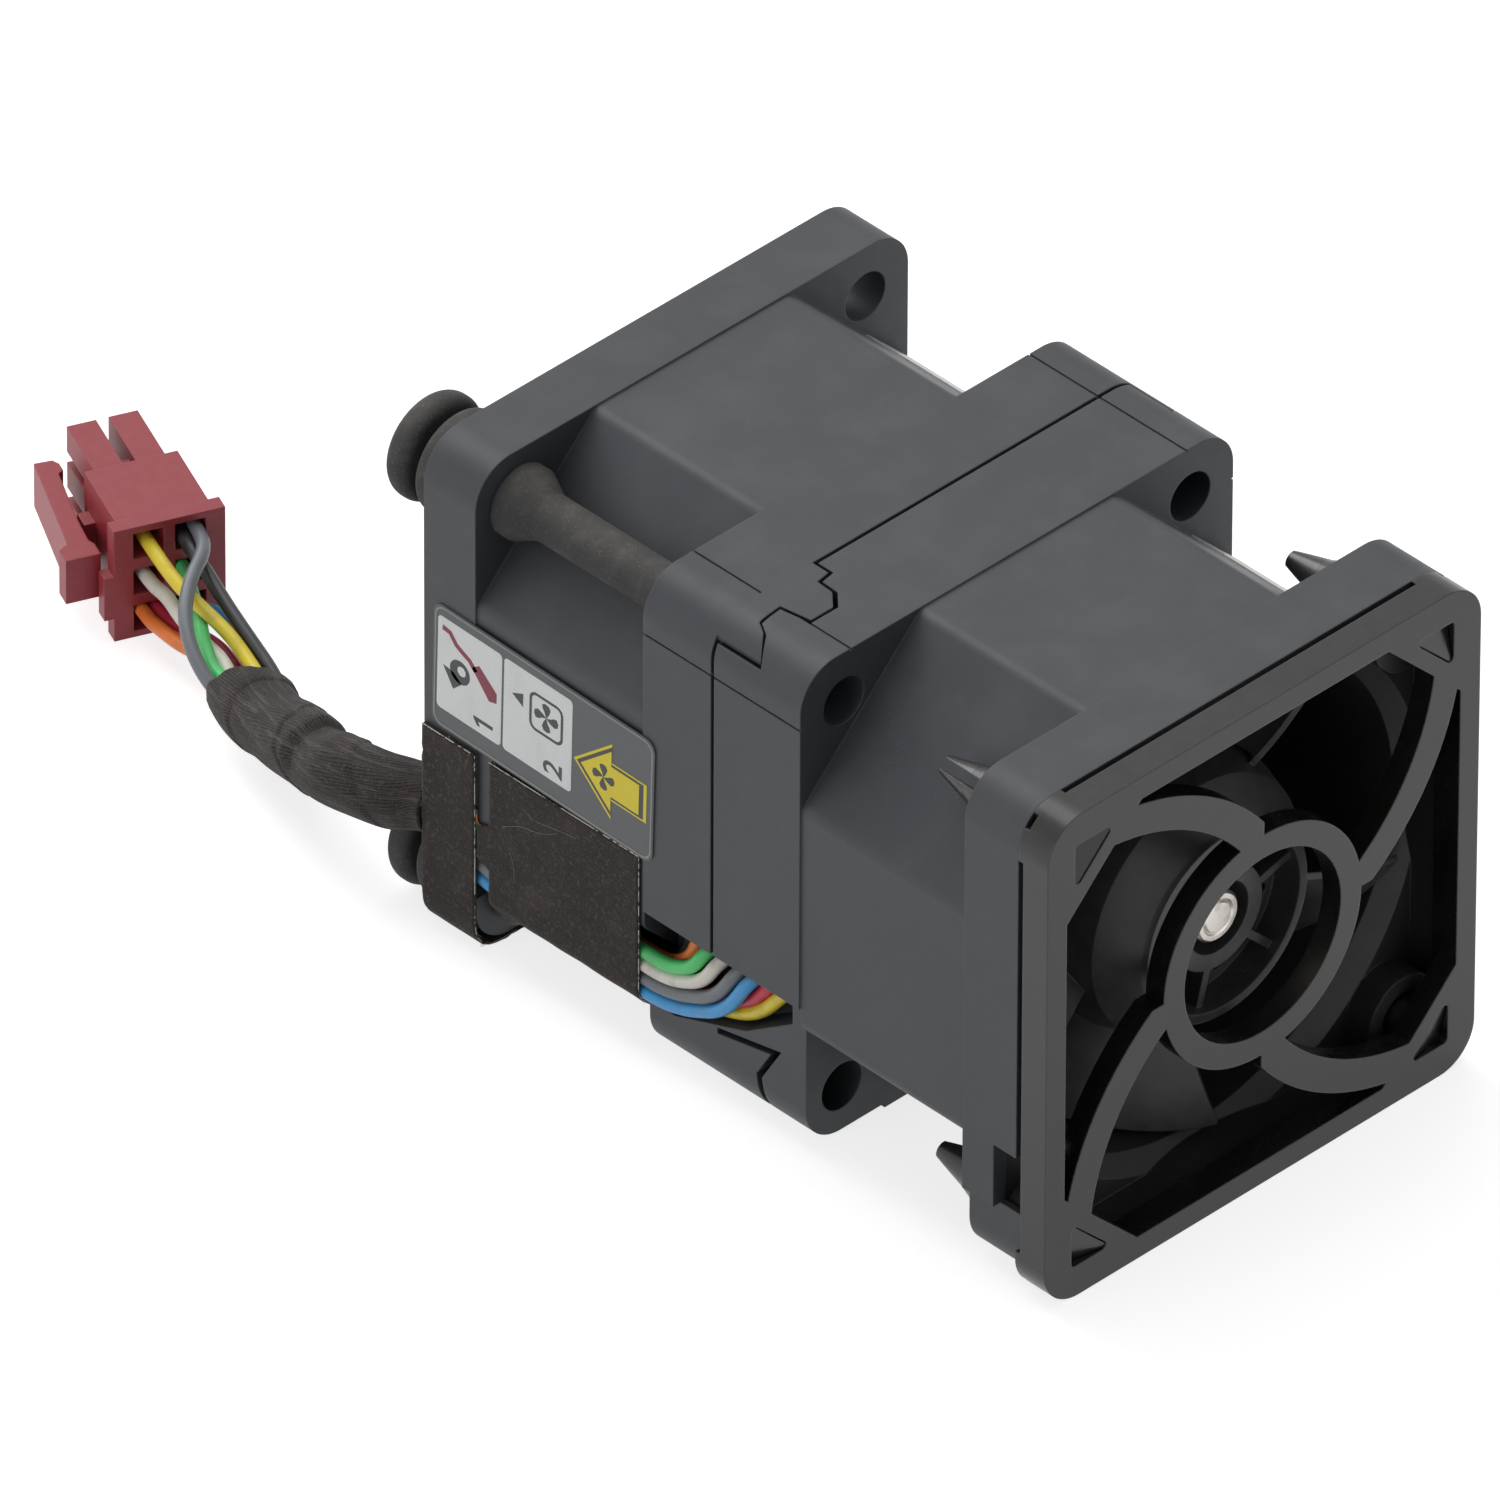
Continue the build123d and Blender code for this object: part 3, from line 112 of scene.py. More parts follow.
# %% [markdown]
# ## Light and floor
# A photographer's table: white everywhere, a wide soft light overhead, a second one high
# behind, and two weak ones, low on the left and in front. The light from behind makes each
# flange shade the pocket in front of it. Only rays that reach the camera or a reflection see the
# full white. The rays that light the object see a grey world, so that dark plastic stays dark and
# much of what the eye sees on it is the white table in its sheen.

# %% The world and the lamps
WORLD_WHITE = (1, 1, 1, 1)
WORLD_FILL = 0.2
LAMP_AIM = Vector((0, 10 * MM, MIDDLE_Z))

# Place and size in metres, and power in watts.
LAMPS = {
    "key_light": ((0.05, 0.55, 0.42), 0.36, 1.6),
    "left_light": ((-0.55, 0.04, 0.12), 0.40, 0.8),
    "front_light": ((0.10, -0.55, 0.24), 0.50, 0.22),
    "top_light": ((0.06, 0.16, 0.60), 0.50, 1.5),
}

bpy.context.scene.view_settings.view_transform = "Standard"


def seen_directly(tree):
    """A socket that is 1 for camera, glossy and transmission rays and 0 for the light on things."""
    path = tree.nodes.new("ShaderNodeLightPath")
    total = path.outputs["Is Camera Ray"]
    for name in ("Is Glossy Ray", "Is Transmission Ray"):
        add = tree.nodes.new("ShaderNodeMath")
        add.operation = "MAXIMUM"
        tree.links.new(total, add.inputs[0])
        tree.links.new(path.outputs[name], add.inputs[1])
        total = add.outputs[0]
    return total


def white_world():
    """A world that looks white and lights the object gently."""
    world = bpy.data.worlds.new("studio")
    world.use_nodes = True
    tree = world.node_tree
    background = tree.nodes["Background"]
    background.inputs["Color"].default_value = WORLD_WHITE
    strength = tree.nodes.new("ShaderNodeMapRange")
    strength.inputs["To Min"].default_value = WORLD_FILL
    strength.inputs["To Max"].default_value = 1.0
    tree.links.new(seen_directly(tree), strength.inputs["Value"])
    tree.links.new(strength.outputs[0], background.inputs["Strength"])
    bpy.context.scene.world = world


def soft_light(name, place, size, watts):
    """A square lamp that faces the middle of the module."""
    lamp = bpy.data.lights.new(name, "AREA")
    lamp.size = size
    lamp.energy = watts
    holder = link(bpy.data.objects.new(name, lamp))
    holder.location = place
    aim = LAMP_AIM - holder.location
    holder.rotation_mode = "QUATERNION"
    holder.rotation_quaternion = aim.to_track_quat("-Z", "Y")


white_world()
for name, facts in LAMPS.items():
    soft_light(name, *facts)
print("lamps", sorted(LAMPS))

# %% [markdown]
# The floor is one large plane just under the lowest point. Its shader adds a little light of its
# own for the camera alone. That takes the floor to white where nothing shades it and leaves a
# soft grey shadow under the module.

# %% The floor
FLOOR_SPAN = 6.0
FLOOR_DROP = 0.02 * MM
FLOOR_GREY = (0.62, 0.62, 0.62, 1)
FLOOR_LIFT = 0.76


def pale_floor():
    """A plane under the object, marked as stage."""
    mesh = bpy.data.meshes.new("floor")
    low = CAD_BOX[0][2] - FLOOR_DROP
    corners = [(x * FLOOR_SPAN / 2, y * FLOOR_SPAN / 2, low) for x, y in ((-1, -1), (1, -1), (1, 1), (-1, 1))]
    mesh.from_pydata(corners, [], [(0, 1, 2, 3)])
    floor = link(bpy.data.objects.new("floor", mesh))
    material = bpy.data.materials.new("pale_floor")
    material.use_nodes = True
    tree = material.node_tree
    shader = tree.nodes["Principled BSDF"]
    shader.inputs["Base Color"].default_value = FLOOR_GREY
    shader.inputs["Roughness"].default_value = 0.9
    shader.inputs["Specular IOR Level"].default_value = 0.1
    shader.inputs["Emission Color"].default_value = WORLD_WHITE
    lift = tree.nodes.new("ShaderNodeMath")
    lift.operation = "MULTIPLY"
    lift.inputs[1].default_value = FLOOR_LIFT
    tree.links.new(seen_directly(tree), lift.inputs[0])
    tree.links.new(lift.outputs[0], shader.inputs["Emission Strength"])
    mesh.materials.append(material)


pale_floor()
print("floor", FLOOR_SPAN, "m wide, at", round(CAD_BOX[0][2] / MM, 2), "mm")

# %% [markdown]
# ## How a finish is put together
# A shader is a small network of nodes. Wiring it with the plain API takes four lines a node, so a
# short helper class does that once, and each finish below then reads like a recipe: a tone, a
# second tone over it, a bump. All patterns are measured in metres on the object itself, so a
# thread of 0.3 mm is 0.3 mm wide on every part.

# %% A helper for finishes
SCREEN_WHITE = 255
DUCT_REACH = 19.6 * MM
POCKET_REACH = 18.85 * MM
POCKET_FLOOR = -26.5 * MM


def colour(red, green, blue):
    """Screen values from 0 to 255 as the linear colour that a shader takes, by the sRGB standard."""
    return (*(((v / SCREEN_WHITE + 0.055) / 1.055) ** 2.4 for v in (red, green, blue)), 1)


class Finish:
    """A material in the making, with one short call for each kind of node."""

    def __init__(self, name, roughness, metallic=0.0, specular=0.5):
        self.material = bpy.data.materials.new(name)
        self.material.use_nodes = True
        self.tree = self.material.node_tree
        self.shader = self.tree.nodes["Principled BSDF"]
        self.shader.inputs["Roughness"].default_value = roughness
        self.shader.inputs["Metallic"].default_value = metallic
        self.shader.inputs["Specular IOR Level"].default_value = specular
        self.normal = None

    def node(self, kind, inputs=None, output=0, **settings):
        """Adds a node, sets or links its inputs and gives one of its outputs."""
        made = self.tree.nodes.new("ShaderNode" + kind)
        for name, value in settings.items():
            setattr(made, name, value)
        for name, value in (inputs or {}).items():
            if isinstance(value, bpy.types.NodeSocket):
                self.tree.links.new(value, made.inputs[name])
            else:
                made.inputs[name].default_value = value
        return made.outputs[output]

    def maths(self, operation, first, second=0.0, clamp=False):
        """One sum on two values."""
        return self.node("Math", {0: first, 1: second}, operation=operation, use_clamp=clamp)

    def times(self, first, second):
        """The product of two values."""
        return self.maths("MULTIPLY", first, second)

    def place(self):
        """Where a point is on the object, in metres."""
        return self.node("TexCoord", output="Object")

    def noise(self, size, detail=2.0, where=None, stretch=(1, 1, 1)):
        """Soft random patches of about that size."""
        at = self.node("Mapping", {"Vector": where or self.place(), "Scale": stretch})
        return self.node("TexNoise", {"Vector": at, "Scale": 1 / size, "Detail": detail})

    def cells(self, size):
        """Distance to the nearest of many scattered points."""
        return self.node("TexVoronoi", {"Vector": self.place(), "Scale": 1 / size})

    def between(self, value, low, high):
        """0 at low, 1 at high and a smooth rise between."""
        return self.node("MapRange", {"Value": value, "From Min": low, "From Max": high},
                         interpolation_type="SMOOTHSTEP")

    def mix(self, share, first, second):
        """The first colour, with a share of the second over it."""
        made = self.tree.nodes.new("ShaderNodeMix")
        made.data_type = "RGBA"
        for index, value in ((0, share), (6, first), (7, second)):
            if isinstance(value, bpy.types.NodeSocket):
                self.tree.links.new(value, made.inputs[index])
            else:
                made.inputs[index].default_value = value
        return made.outputs[2]

    def facing_up(self, low=0.1, high=0.9):
        """How far a surface faces the ceiling, where dust settles."""
        normal = self.node("NewGeometry", output="Normal")
        return self.between(self.node("SeparateXYZ", {0: normal}, output="Z"), low, high)

    def facing_inlet(self):
        """How far a surface faces the incoming air, which carries the dust."""
        normal = self.node("NewGeometry", output="Normal")
        return self.between(self.times(self.node("SeparateXYZ", {0: normal}, output="Y"), -1.0), 0.2, 0.8)

    def edges(self, radius):
        """Rounds the edges in the shading and says where they are."""
        self.normal = self.node("Bevel", {"Radius": radius}, samples=4)
        flat = self.node("NewGeometry", output="Normal")
        same = self.node("VectorMath", {0: self.normal, 1: flat}, output="Value", operation="DOT_PRODUCT")
        return self.between(same, 0.985, 0.86)

    def duct_shade_mask(self):
        """1 in the round duct and in the square pocket behind the guard, where the painted shade goes, 0
        elsewhere.
        """
        x, y, z = (self.node("SeparateXYZ", {0: self.place()}, output=axis) for axis in "XYZ")
        across = self.maths("ABSOLUTE", x)
        height = self.maths("ABSOLUTE", self.maths("SUBTRACT", z, MIDDLE_Z))
        squares = self.maths("ADD", self.maths("POWER", across, 2.0), self.maths("POWER", height, 2.0))
        duct = self.maths("LESS_THAN", self.maths("SQRT", squares), DUCT_REACH)
        square = self.maths("LESS_THAN", self.maths("MAXIMUM", across, height), POCKET_REACH)
        pocket = self.times(square, self.maths("LESS_THAN", y, POCKET_FLOOR))
        return self.maths("MAXIMUM", duct, pocket)

    def bump(self, height, depth):
        """Adds relief of that depth to the surface."""
        inputs = {"Height": height, "Distance": depth, "Strength": 1.0}
        if self.normal:
            inputs["Normal"] = self.normal
        self.normal = self.node("Bump", inputs)

    def done(self, paint, roughness=None):
        """Wires the colour, the roughness and the relief into the shader."""
        if isinstance(paint, bpy.types.NodeSocket):
            self.tree.links.new(paint, self.shader.inputs["Base Color"])
        else:
            self.shader.inputs["Base Color"].default_value = paint
        if roughness:
            self.tree.links.new(roughness, self.shader.inputs["Roughness"])
        if self.normal:
            self.tree.links.new(self.normal, self.shader.inputs["Normal"])
        return self.material


# %% [markdown]
# ## Moulded plastic
# The housings, the guard and the rotors are charcoal plastic that has spent years in moving air.
# Up close it has a fine spark-eroded grain, pale specks of dust, a thicker film on all that faces
# up and lighter edges where hands and rails have rubbed it. In the duct and in the pocket behind
# the guard the frame gets a darker tone, which is painted shade. One recipe with different amounts
# gives all three, so that they look related but not the same.

# %% Charcoal plastics
EDGE_ROUNDING = 0.16 * MM


def dusty_plastic(name, base, dust, edge, roughness, film, specks, grain=0.006 * MM, inside=None,
                  blown=False):
    """Moulded plastic with grain, a film of dust, specks and rubbed edges, and painted shade as a darker
    tone in the duct. On blown parts the dust comes with the air, on all others it settles from above."""
    f = Finish(name, roughness)
    cloud = f.noise(9 * MM, detail=4)
    fine = f.noise(1.1 * MM, detail=3)
    grit = f.noise(0.15 * MM, detail=1)
    darker = tuple(c * 0.86 for c in base[:3]) + (1,)
    tone = f.mix(f.between(cloud, 0.32, 0.68), darker, base)
    drift = f.between(f.noise(5 * MM, detail=3), 0.35, 0.8)
    patchy = f.times(drift, f.facing_inlet() if blown else f.facing_up())
    settled = f.times(f.maths("ADD", f.times(fine, 0.35), patchy, clamp=True), film)
    tone = f.mix(settled, tone, dust)
    speck = f.times(f.between(grit, 0.68, 0.76), f.times(f.between(cloud, 0.45, 0.8), specks))
    tone = f.mix(speck, tone, dust)
    rub = f.times(f.edges(EDGE_ROUNDING), f.times(f.between(fine, 0.2, 0.7), 0.35))
    tone = f.mix(rub, tone, edge)
    # Painted shade: the duct and the pocket behind the guard take the darker tone given as inside.
    if inside:
        tone = f.mix(f.duct_shade_mask(), tone, inside)
    f.bump(f.noise(0.22 * MM, detail=3), grain)
    shine = f.node("MapRange", {"Value": fine, "To Min": roughness - 0.06, "To Max": roughness + 0.08})
    return f.done(tone, shine)


finishes = {
    # The frame's last colour darkens the duct and the pocket behind the guard as painted shade.
    "frame_plastic": dusty_plastic(
        "dusty_frame_plastic_duct_shaded", colour(49, 52, 57), colour(126, 129, 131), colour(104, 105, 108), 0.52,
        film=0.10, specks=0.35, inside=colour(26, 27, 29)),
    "guard_plastic": dusty_plastic(
        "guard_plastic", colour(24, 23, 22), colour(112, 106, 100), colour(78, 75, 72), 0.25,
        film=0.03, specks=0.0, grain=0.0015 * MM),
    "rotor_plastic": dusty_plastic(
        "rotor_plastic", colour(46, 47, 49), colour(128, 126, 124), colour(84, 84, 84), 0.4,
        film=0.42, specks=0.8, blown=True),
}
print("plastics", sorted(finishes))

# %% [markdown]
# ## Rubber, metal and board
# The isolators are soft rubber, which takes dust in its pores and has no bright edges. The hub's
# metal is turned, so its scratches run in circles round the axis. The parts that hide inside are
# finished too, because the model may be taken apart: steel laminations, copper turns, a green board.

# %% Rubber and metals
LATHE_RING = 0.12 * MM


def dusty_rubber():
    """Dull rubber with a pale bloom."""
    f = Finish("isolator_rubber", 0.72, specular=0.35)
    patches = f.between(f.noise(1.4 * MM, 4), 0.45, 0.75)
    bloom = f.maths("ADD", f.times(f.facing_up(), 0.14), f.times(patches, 0.16))
    tone = f.mix(f.noise(3 * MM, 3), colour(44, 44, 46), colour(58, 58, 59))
    tone = f.mix(bloom, tone, colour(128, 124, 116))
    dots = f.between(f.noise(0.14 * MM, 1), 0.66, 0.74)
    tone = f.mix(f.times(dots, 0.3), tone, colour(160, 154, 144))
    f.edges(0.2 * MM)
    f.bump(f.noise(0.3 * MM, 3), 0.01 * MM)
    return f.done(tone)


def turned_metal(name, tone, dull, roughness):
    """Metal with fine rings round the axis that runs along Y."""
    f = Finish(name, roughness, metallic=1.0)
    away = f.node("VectorMath", {0: f.place(), 1: (0, 0, -MIDDLE_Z)}, operation="ADD")
    flat = f.node("VectorMath", {0: away, 1: (1, 0, 1)}, operation="MULTIPLY")
    radius = f.node("VectorMath", {0: flat}, output="Value", operation="LENGTH")
    line = f.node("CombineXYZ", {0: radius})
    rings = f.node("TexNoise", {"Vector": line, "Scale": 1 / LATHE_RING, "Detail": 2.0})
    stain = f.between(f.noise(1.5 * MM, 4), 0.4, 0.75)
    paint = f.mix(stain, tone, dull)
    f.edges(0.08 * MM)
    f.bump(rings, 0.004 * MM)
    gloss = f.node("MapRange", {"Value": rings, "To Min": roughness - 0.08, "To Max": roughness + 0.15})
    return f.done(paint, gloss)


def plain_metal(name, tone, dull, roughness, grain):
    """Metal with an even, fine texture."""
    f = Finish(name, roughness, metallic=1.0)
    paint = f.mix(f.between(f.noise(2 * MM, 4), 0.35, 0.7), tone, dull)
    f.edges(0.08 * MM)
    f.bump(f.noise(grain, 2), 0.006 * MM)
    return f.done(paint)


finishes["rubber"] = dusty_rubber()
for slot, name, tone, dull, roughness in (
        ("bush_brass", "turned_bush", (226, 222, 215), (176, 172, 164), 0.3),
        ("shaft_steel", "shaft_steel", (224, 220, 214), (176, 172, 166), 0.3),
        ("bearing_steel", "bearing_steel", (200, 200, 202), (160, 160, 162), 0.24)):
    finishes[slot] = turned_metal(name, colour(*tone), colour(*dull), roughness)
for slot, name, tone, dull, roughness, grain in (
        ("steel_yoke", "yoke_steel", (150, 150, 152), (110, 110, 112), 0.45, 0.4 * MM),
        ("terminal_tin", "tinned_terminal", (205, 203, 198), (160, 156, 150), 0.32, 0.3 * MM)):
    finishes[slot] = plain_metal(name, colour(*tone), colour(*dull), roughness, grain)
print("metals and rubber made")

# %% Parts of the motors
SHEET_PITCH, WIRE_PITCH = 0.5 * MM, 0.25 * MM


def wave_along(f, pitch):
    """A sine along the axis, one wave a pitch."""
    along = f.node("SeparateXYZ", {0: f.place()}, output="Y")
    return f.maths("SINE", f.times(along, 2 * math.pi / pitch))


def laminations():
    """Stacked sheet steel: a thin dark line every half millimetre along the axis."""
    f = Finish("stacked_laminations", 0.45, metallic=1.0)
    wave = wave_along(f, SHEET_PITCH)
    paint = f.mix(f.between(wave, 0.6, 1.0), colour(140, 141, 146), colour(66, 68, 74))
    f.bump(wave, 0.02 * MM)
    return f.done(paint)


def coil_copper():
    """Enamelled wire laid turn beside turn."""
    f = Finish("coil_copper", 0.3, metallic=1.0)
    wave = wave_along(f, WIRE_PITCH)
    paint = f.mix(f.noise(1.5 * MM, 3), colour(184, 98, 54), colour(206, 124, 78))
    f.bump(wave, 0.06 * MM)
    return f.done(paint)


def moulded_part(name, first, second, roughness):
    """Clean small part in two close tones."""
    f = Finish(name, roughness)
    paint = f.mix(f.noise(1.6 * MM, 3), first, second)
    f.edges(0.06 * MM)
    f.bump(f.noise(0.2 * MM, 2), 0.004 * MM)
    return f.done(paint)


def circuit_green():
    """Solder mask with pale tracks under it."""
    f = Finish("circuit_board", 0.35)
    tracks = f.between(f.cells(1.6 * MM), 0.42, 0.46)
    paint = f.mix(tracks, colour(20, 84, 52), colour(38, 112, 72))
    f.bump(tracks, 0.02 * MM)
    return f.done(paint)


finishes["lamination"] = laminations()
finishes["copper"] = coil_copper()
finishes["board"] = circuit_green()
for slot, name, first, second, roughness in (
        ("insulator", "insulator_nylon", (214, 208, 190), (228, 223, 208), 0.5),
        ("chip", "chip_epoxy", (26, 26, 28), (38, 38, 40), 0.45),
        ("magnet", "bonded_magnet", (48, 46, 48), (64, 62, 62), 0.55)):
    finishes[slot] = moulded_part(name, colour(*first), colour(*second), roughness)
print("motor parts made")

# %% [markdown]
# ## Red connector and coloured leads
# The connector's nylon is a dusty raspberry red, paler where it faces up and on its edges. The
# leads are stranded wire in soft vinyl, so each has a faint gloss and small stains
# from handling, in its own code colour.

# %% Nylon and vinyl


def dusty_nylon():
    """Red nylon under a film of dust."""
    f = Finish("connector_nylon", 0.46)
    tone = f.mix(f.noise(4 * MM, 4), colour(142, 40, 50), colour(156, 48, 58))
    film = f.times(f.maths("ADD", f.between(f.noise(0.8 * MM, 4), 0.3, 0.8), f.facing_up(0.2, 1.0)), 0.07)
    tone = f.mix(film, tone, colour(190, 124, 126))
    tone = f.mix(f.times(f.edges(0.14 * MM), 0.3), tone, colour(190, 104, 110))
    f.bump(f.noise(0.25 * MM, 2), 0.005 * MM)
    return f.done(tone)


def lead_vinyl(name, tone):
    """Insulation of a thin lead, a little soiled."""
    f = Finish("lead_vinyl_" + name, 0.4)
    soil = f.times(f.between(f.noise(1.3 * MM, 4), 0.45, 0.8), 0.28)
    f.bump(f.noise(0.35 * MM, 2), 0.008 * MM)
    return f.done(f.mix(soil, tone, colour(112, 104, 96)))


LEAD_COLOURS = {
    "yellow": colour(246, 222, 66),
    "red": colour(206, 50, 78),
    "blue": colour(70, 166, 230),
    "grey": colour(116, 121, 127),
    "white": colour(236, 231, 222),
    "green": colour(88, 214, 122),
    "orange": colour(250, 134, 62),
    "black": colour(44, 45, 48),
}
finishes["connector_red"] = dusty_nylon()
for lead, tone in LEAD_COLOURS.items():
    finishes["wire_" + lead] = lead_vinyl(lead, tone)
print("leads", sorted(LEAD_COLOURS))

# %% [markdown]
# ## Cloth
# Tapes and sleeve are woven. A plain weave is a chequerboard: on one square the thread that runs
# across lies on top, on the next the one that runs along. With the chequer as a mask and a sine
# for each thread's round back, the weave needs no picture. The sleeve's cloth is wound, so the same
# recipe is turned a few degrees there. The patterns follow each piece's own UV map, laid out in
# metres when the piece is made.

# %% Woven finishes


def woven(name, dark, light, pale, pitch, relief, flecks, turn=0.0, warp=1.0, specks=0.3, streaks=0.0):
    """Cloth of threads a pitch wide, with painted shade and light: dark where the weave lies low, light
    on the threads' backs. A warp above 1 lets the threads that run along stand out. Flecks
    are worn pale spots, and streaks are pale threads that run along."""
    f = Finish(name, 0.85, specular=0.2)
    f.shader.inputs["Sheen Weight"].default_value = 0.12
    f.shader.inputs["Sheen Roughness"].default_value = 0.5
    layout = f.node("TexCoord", output="UV")
    flat = f.node("Mapping", {"Vector": layout, "Rotation": (0, 0, turn), "Scale": (math.pi / pitch,) * 3})
    wobble = f.node("TexNoise", {"Vector": flat, "Scale": 0.22, "Detail": 1.0}, output="Color")
    wobble = f.node("VectorMath", {0: wobble, 1: (2.2, 2.2, 0)}, operation="MULTIPLY")
    flat = f.node("VectorMath", {0: flat, 1: wobble}, operation="ADD")
    across = f.maths("SINE", f.node("SeparateXYZ", {0: flat}, output="X"))
    along = f.maths("SINE", f.node("SeparateXYZ", {0: flat}, output="Y"))
    chequer = f.maths("GREATER_THAN", f.times(across, along), 0.0)
    across, along = f.maths("ABSOLUTE", across), f.maths("ABSOLUTE", along)
    first = f.times(across, f.maths("ADD", f.times(along, 0.5), 0.5))
    second = f.times(along, f.maths("ADD", f.times(across, 0.5), 0.5))
    weave = f.node("Mix", {0: chequer, 2: first, 3: second}, output=0)
    height = f.node("Mix", {0: (warp - 1) / warp, 2: weave, 3: across}, output=0)
    worn = f.between(f.noise(3.2 * MM, 4), 0.5, 0.8)
    fibre = f.noise(0.12 * MM, 2)
    # Painted shade and light: the dark tone fills the low places between threads, the light one their backs.
    paint = f.mix(f.between(height, 0.05, 0.95), dark, light)
    paint = f.mix(f.times(f.times(worn, height), 0.25), paint, pale)
    paint = f.mix(f.times(f.between(fibre, 0.62, 0.74), specks), paint, pale)
    paint = f.mix(f.times(f.between(f.noise(0.34 * MM, 3), 0.52, 0.70), flecks), paint, pale)
    run = f.noise(0.30 * MM, 3, where=layout, stretch=(1, 0.07, 1))
    paint = f.mix(f.times(f.between(run, 0.50, 0.72), streaks), paint, pale)
    f.bump(height, relief)
    f.bump(fibre, 0.012 * MM)
    return f.done(paint)


# Each cloth's first two colours are painted shade between the threads and the lit tone of their backs.
finishes["tape_cloth"] = woven(
    "tape_cloth", colour(30, 26, 25), colour(56, 51, 49), colour(128, 119, 112), 0.19 * MM,
    relief=0.02 * MM, flecks=0.22, specks=0.4)
finishes["sleeve_cloth"] = woven(
    "sleeve_cloth", colour(26, 24, 24), colour(66, 61, 60), colour(132, 124, 118), 0.17 * MM,
    relief=0.03 * MM, flecks=0.14, turn=math.radians(8), warp=1.6, streaks=0.32)
THREAD_FINISH = moulded_part("pale_thread", colour(150, 142, 132), colour(190, 184, 174), 0.9)
print("cloths made")

# %% [markdown]
# ## Film and paper
# The sticker is a grey printed film and the side labels are blank pale film. Both have a soft
# sheen, faint scuffs and small soiled spots.

# %% Sticker and label


def soiled_film(name, tone, soil, roughness):
    """Smooth film with scuffs."""
    f = Finish(name, roughness)
    scuff = f.between(f.noise(2.5 * MM, 5, stretch=(1, 0.4, 1.6)), 0.5, 0.8)
    speck = f.between(f.noise(0.16 * MM, 1), 0.64, 0.72)
    paint = f.mix(f.times(scuff, 0.3), tone, soil)
    paint = f.mix(f.times(speck, 0.4), paint, soil)
    f.bump(f.noise(1.8 * MM, 2), 0.01 * MM)
    return f.done(paint)


finishes["sticker_film"] = soiled_film("sticker_film", colour(76, 79, 82), colour(104, 104, 104), 0.42)
finishes["blank_label"] = soiled_film("blank_label", colour(190, 190, 188), colour(120, 120, 120), 0.35)
PRINT_WHITE = soiled_film("print_white", colour(238, 239, 240), colour(196, 196, 196), 0.5)
PRINT_YELLOW = soiled_film("print_yellow", colour(236, 216, 52), colour(196, 178, 70), 0.5)
PRINT_DARK = soiled_film("print_dark", colour(46, 48, 50), colour(84, 84, 84), 0.5)
PRINT_RED = soiled_film("print_red", colour(128, 36, 58), colour(150, 84, 96), 0.5)
PRINT_EDGE = soiled_film("print_edge", colour(148, 148, 142), colour(110, 110, 108), 0.5)


def dress_nodes():
    """Gives every CAD node the finish of its material slot."""
    slots = {part["node"]: part["material_slot"] for part in frame["record"]["subparts"]}
    for name, node in frame["nodes"].items():
        node.data.materials.clear()
        node.data.materials.append(finishes[slots[name]])
    return slots


SLOTS = dress_nodes()
print(len(SLOTS), "nodes dressed in", len(set(SLOTS.values())), "finishes")

# %% [markdown]
# ## The eight leads
# Each lead leaves the module at its rear edge, runs inside the cloth sleeve and ends in a cavity of
# the connector. A smooth NURBS curve with a few control points is how a cable designer would draw
# it: the points say where it is led, and the curve finds its own bend. Inside the sleeve
# one lead runs in the middle and seven lie round it. Behind the sleeve they fan out and cross
# one another on the way to their cavities, with about their own thickness between two middles.

# %% Routes of the leads
WIRE_R = 0.5 * MM
SLEEVE_ROUTE = [Vector(p) * MM for p in (
    (-18.6, 27.6, 9.3),
    (-19.9, 30.9, 8.9),
    (-19.8, 35.9, 7.7),
    (-17.9, 41.0, 6.0),
    (-15.9, 46.7, 4.0),
    (-14.3, 49.8, 3.4),
)]
OUTER_LANE, MIDDLE_LANE, INNER_LANE = 19.38, 18.33, 17.28
PLUG_PLACE = Vector((-9.9, 62.4, 0)) * MM
PLUG_TURN = math.radians(-23)
PLUG_MIDDLE = 4.6
CAVITY_PITCH = 3.0
CAVITY_DEPTH = 3.2
UP = Vector((0, 0, 1))
RING_R = 1.1

